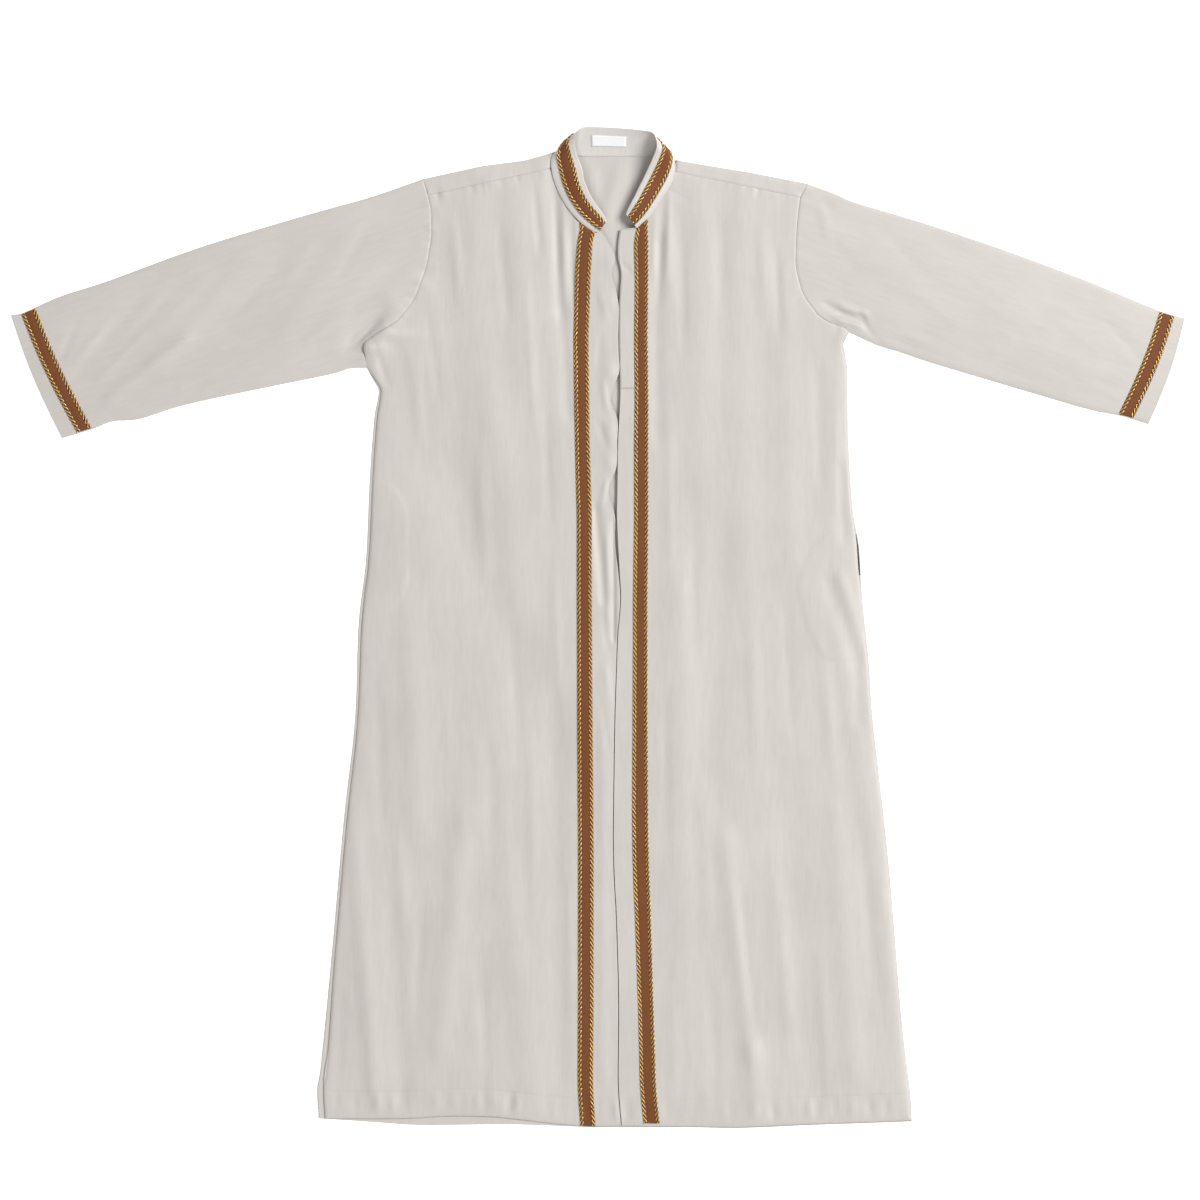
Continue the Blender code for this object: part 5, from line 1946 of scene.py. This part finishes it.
def laid_course(relief: ClothRelief, outer: Array, inner: Array) -> Course:
    """Course of a braid that lies on the cloth between two borders.

    Args:
        relief: height of the cloth.
        outer: one border in plan.
        inner: the other border.

    Returns:
        The course.
    """
    def place(share: float, lift: float) -> Array:
        """Points at a share across, lifted off the cloth."""
        plan = outer + (inner - outer) * share
        return np.column_stack((plan, relief.height(plan) + lift))

    return Course(place, Line(outer).length())


def build_braids(relief: ClothRelief, fronts: dict[Side, FrontPanel], sleeves: dict[Side, Sleeve],
                 collar: CollarBand) -> dict[str, tuple[list[bpy.types.Object], float]]:
    """Builds the braids of both fronts, both cuffs and the collar.

    Args:
        relief: height of the cloth.
        fronts: the fronts by side.
        sleeves: the sleeves by side.
        collar: the collar band.

    Returns:
        Each braid's tape and ropes, and its length, by name.
    """
    tape, gold = TapeFinish().material(), GoldThreadFinish().material()
    # The ropes' core: a brown thread, darkened to near black as painted shade for the gaps between the gold
    # plies.
    dark = SewingThreadFinish("rope_core_painted_gap_shade", (0.050, 0.018, 0.005), (0.110, 0.042, 0.011)).material()
    vee = (Twist.LEANS_LEFT, Twist.LEANS_RIGHT)
    roof = (Twist.LEANS_RIGHT, Twist.LEANS_LEFT)
    courses = {}
    for side in Side:
        outer, inner = fronts[side].braid_borders()
        rows = sleeves[side].plan(*(shares[:2] for shares in sleeves[side].rings()))[0]
        word = side.name.lower()
        courses[f"braid_front_{word}"] = (laid_course(relief, outer, inner), Line(outer).length(), vee)
        courses[f"braid_cuff_{word}"] = (laid_course(relief, rows[0, 1:-1], rows[1, 1:-1]),
                                         Line(rows[0]).length(), vee)
    courses["braid_collar"] = (collar.braid_course(), collar.braid_course().length, roof)
    braids = {}
    for name, (course, length, twists) in courses.items():
        trim = BraidTrim(name, course, BRAID_WIDTH, twists, tape, gold, dark)
        braids[name] = (trim.build(name), length)
    return braids


def sew_rows(relief: ClothRelief, collar: CollarBand) -> None:
    """Sews the hem's row, the fly strip's bar tack and the collar's two rows, as one piece.

    Args:
        relief: height of the cloth.
        collar: the collar band.
    """
    thread = SewingThreadFinish("greige_thread", (0.42, 0.40, 0.375), (0.52, 0.495, 0.47)).material()
    sewing = Sewing(thread)
    row_lift = 0.05
    bar_lift = 0.15
    bar_pitch = 1.6
    collar_lift = 0.06
    collar_shares = (0.07, 0.94)
    plan = hem_line(FRONT_HEM, HEM_DEPTH).at(np.linspace(0.012, 0.988, 160))
    up = np.tile((0.0, 0.0, 1.0), (len(plan), 1))
    sewing.sew(np.column_stack((plan, relief.height(plan) + row_lift)), up)
    edge, inner = edge_places(Side.LEFT, PLACKET_END_Y)[:2]
    ends = np.array(((edge + 2, PLACKET_END_Y), (inner - 1, PLACKET_END_Y + 1)))
    bar = Line(ends).at(np.linspace(0, 1, 12))
    sewing.sew(np.column_stack((bar, relief.height(bar) + bar_lift)), up[:len(bar)], bar_pitch)
    for share in collar_shares:
        sewing.sew(collar.face(share, BAND + collar_lift), collar.out)
    sewing.build("hem_and_collar_stitches", "cloth")


def main() -> None:
    """Builds the robe piece by piece, then the studio."""
    logging.basicConfig(level=logging.INFO)
    relief = ClothRelief()
    cloth = ClothFinish("greige_crepe").material()
    fronts = {side: FrontPanel(side, relief, cloth) for side in Side}
    back_piece = BackPanel(relief, cloth).build()
    front_pieces = {side: front.build() for side, front in fronts.items()}
    sleeves = {}
    for side, grain in ((Side.RIGHT, Grain.SLEEVE_RIGHT), (Side.LEFT, Grain.SLEEVE_LEFT)):
        finish = ClothFinish(f"greige_crepe_{grain.name.lower()}", grain, drape=0.0014).material()
        sleeves[side] = Sleeve(side, relief, finish)
        sleeves[side].build()
    # The collar band's crepe is a lighter copy of the body cloth: painted light, brightening the band as if
    # it were lit more strongly.
    band = ClothFinish("collar_crepe_painted_light", light=(0.64, 0.61, 0.58), dark=(0.59, 0.56, 0.53),
                       drape=0.0006, uses_fabric=True).material()
    collar = CollarBand(relief, band)
    collar_piece = collar.build()
    label_piece = NeckLabel(collar, LabelFinish().material()).build()
    placket_piece = Placket(fronts[Side.LEFT], relief, cloth).build()
    # The pocket bags get a near-black cloth finish: painted shade, standing for the shadow seen inside the
    # pocket slits.
    slit_shade_finish = ClothFinish("pocket_lining", dark=(0.030, 0.028, 0.026), light=(0.050, 0.046, 0.043)).material()
    bags = {side: PocketBag(side, slit_shade_finish).build() for side in Side}

    braids = build_braids(relief, fronts, sleeves, collar)
    sew_rows(relief, collar)

    Studio().build()


if __name__ == "__main__":
    main()
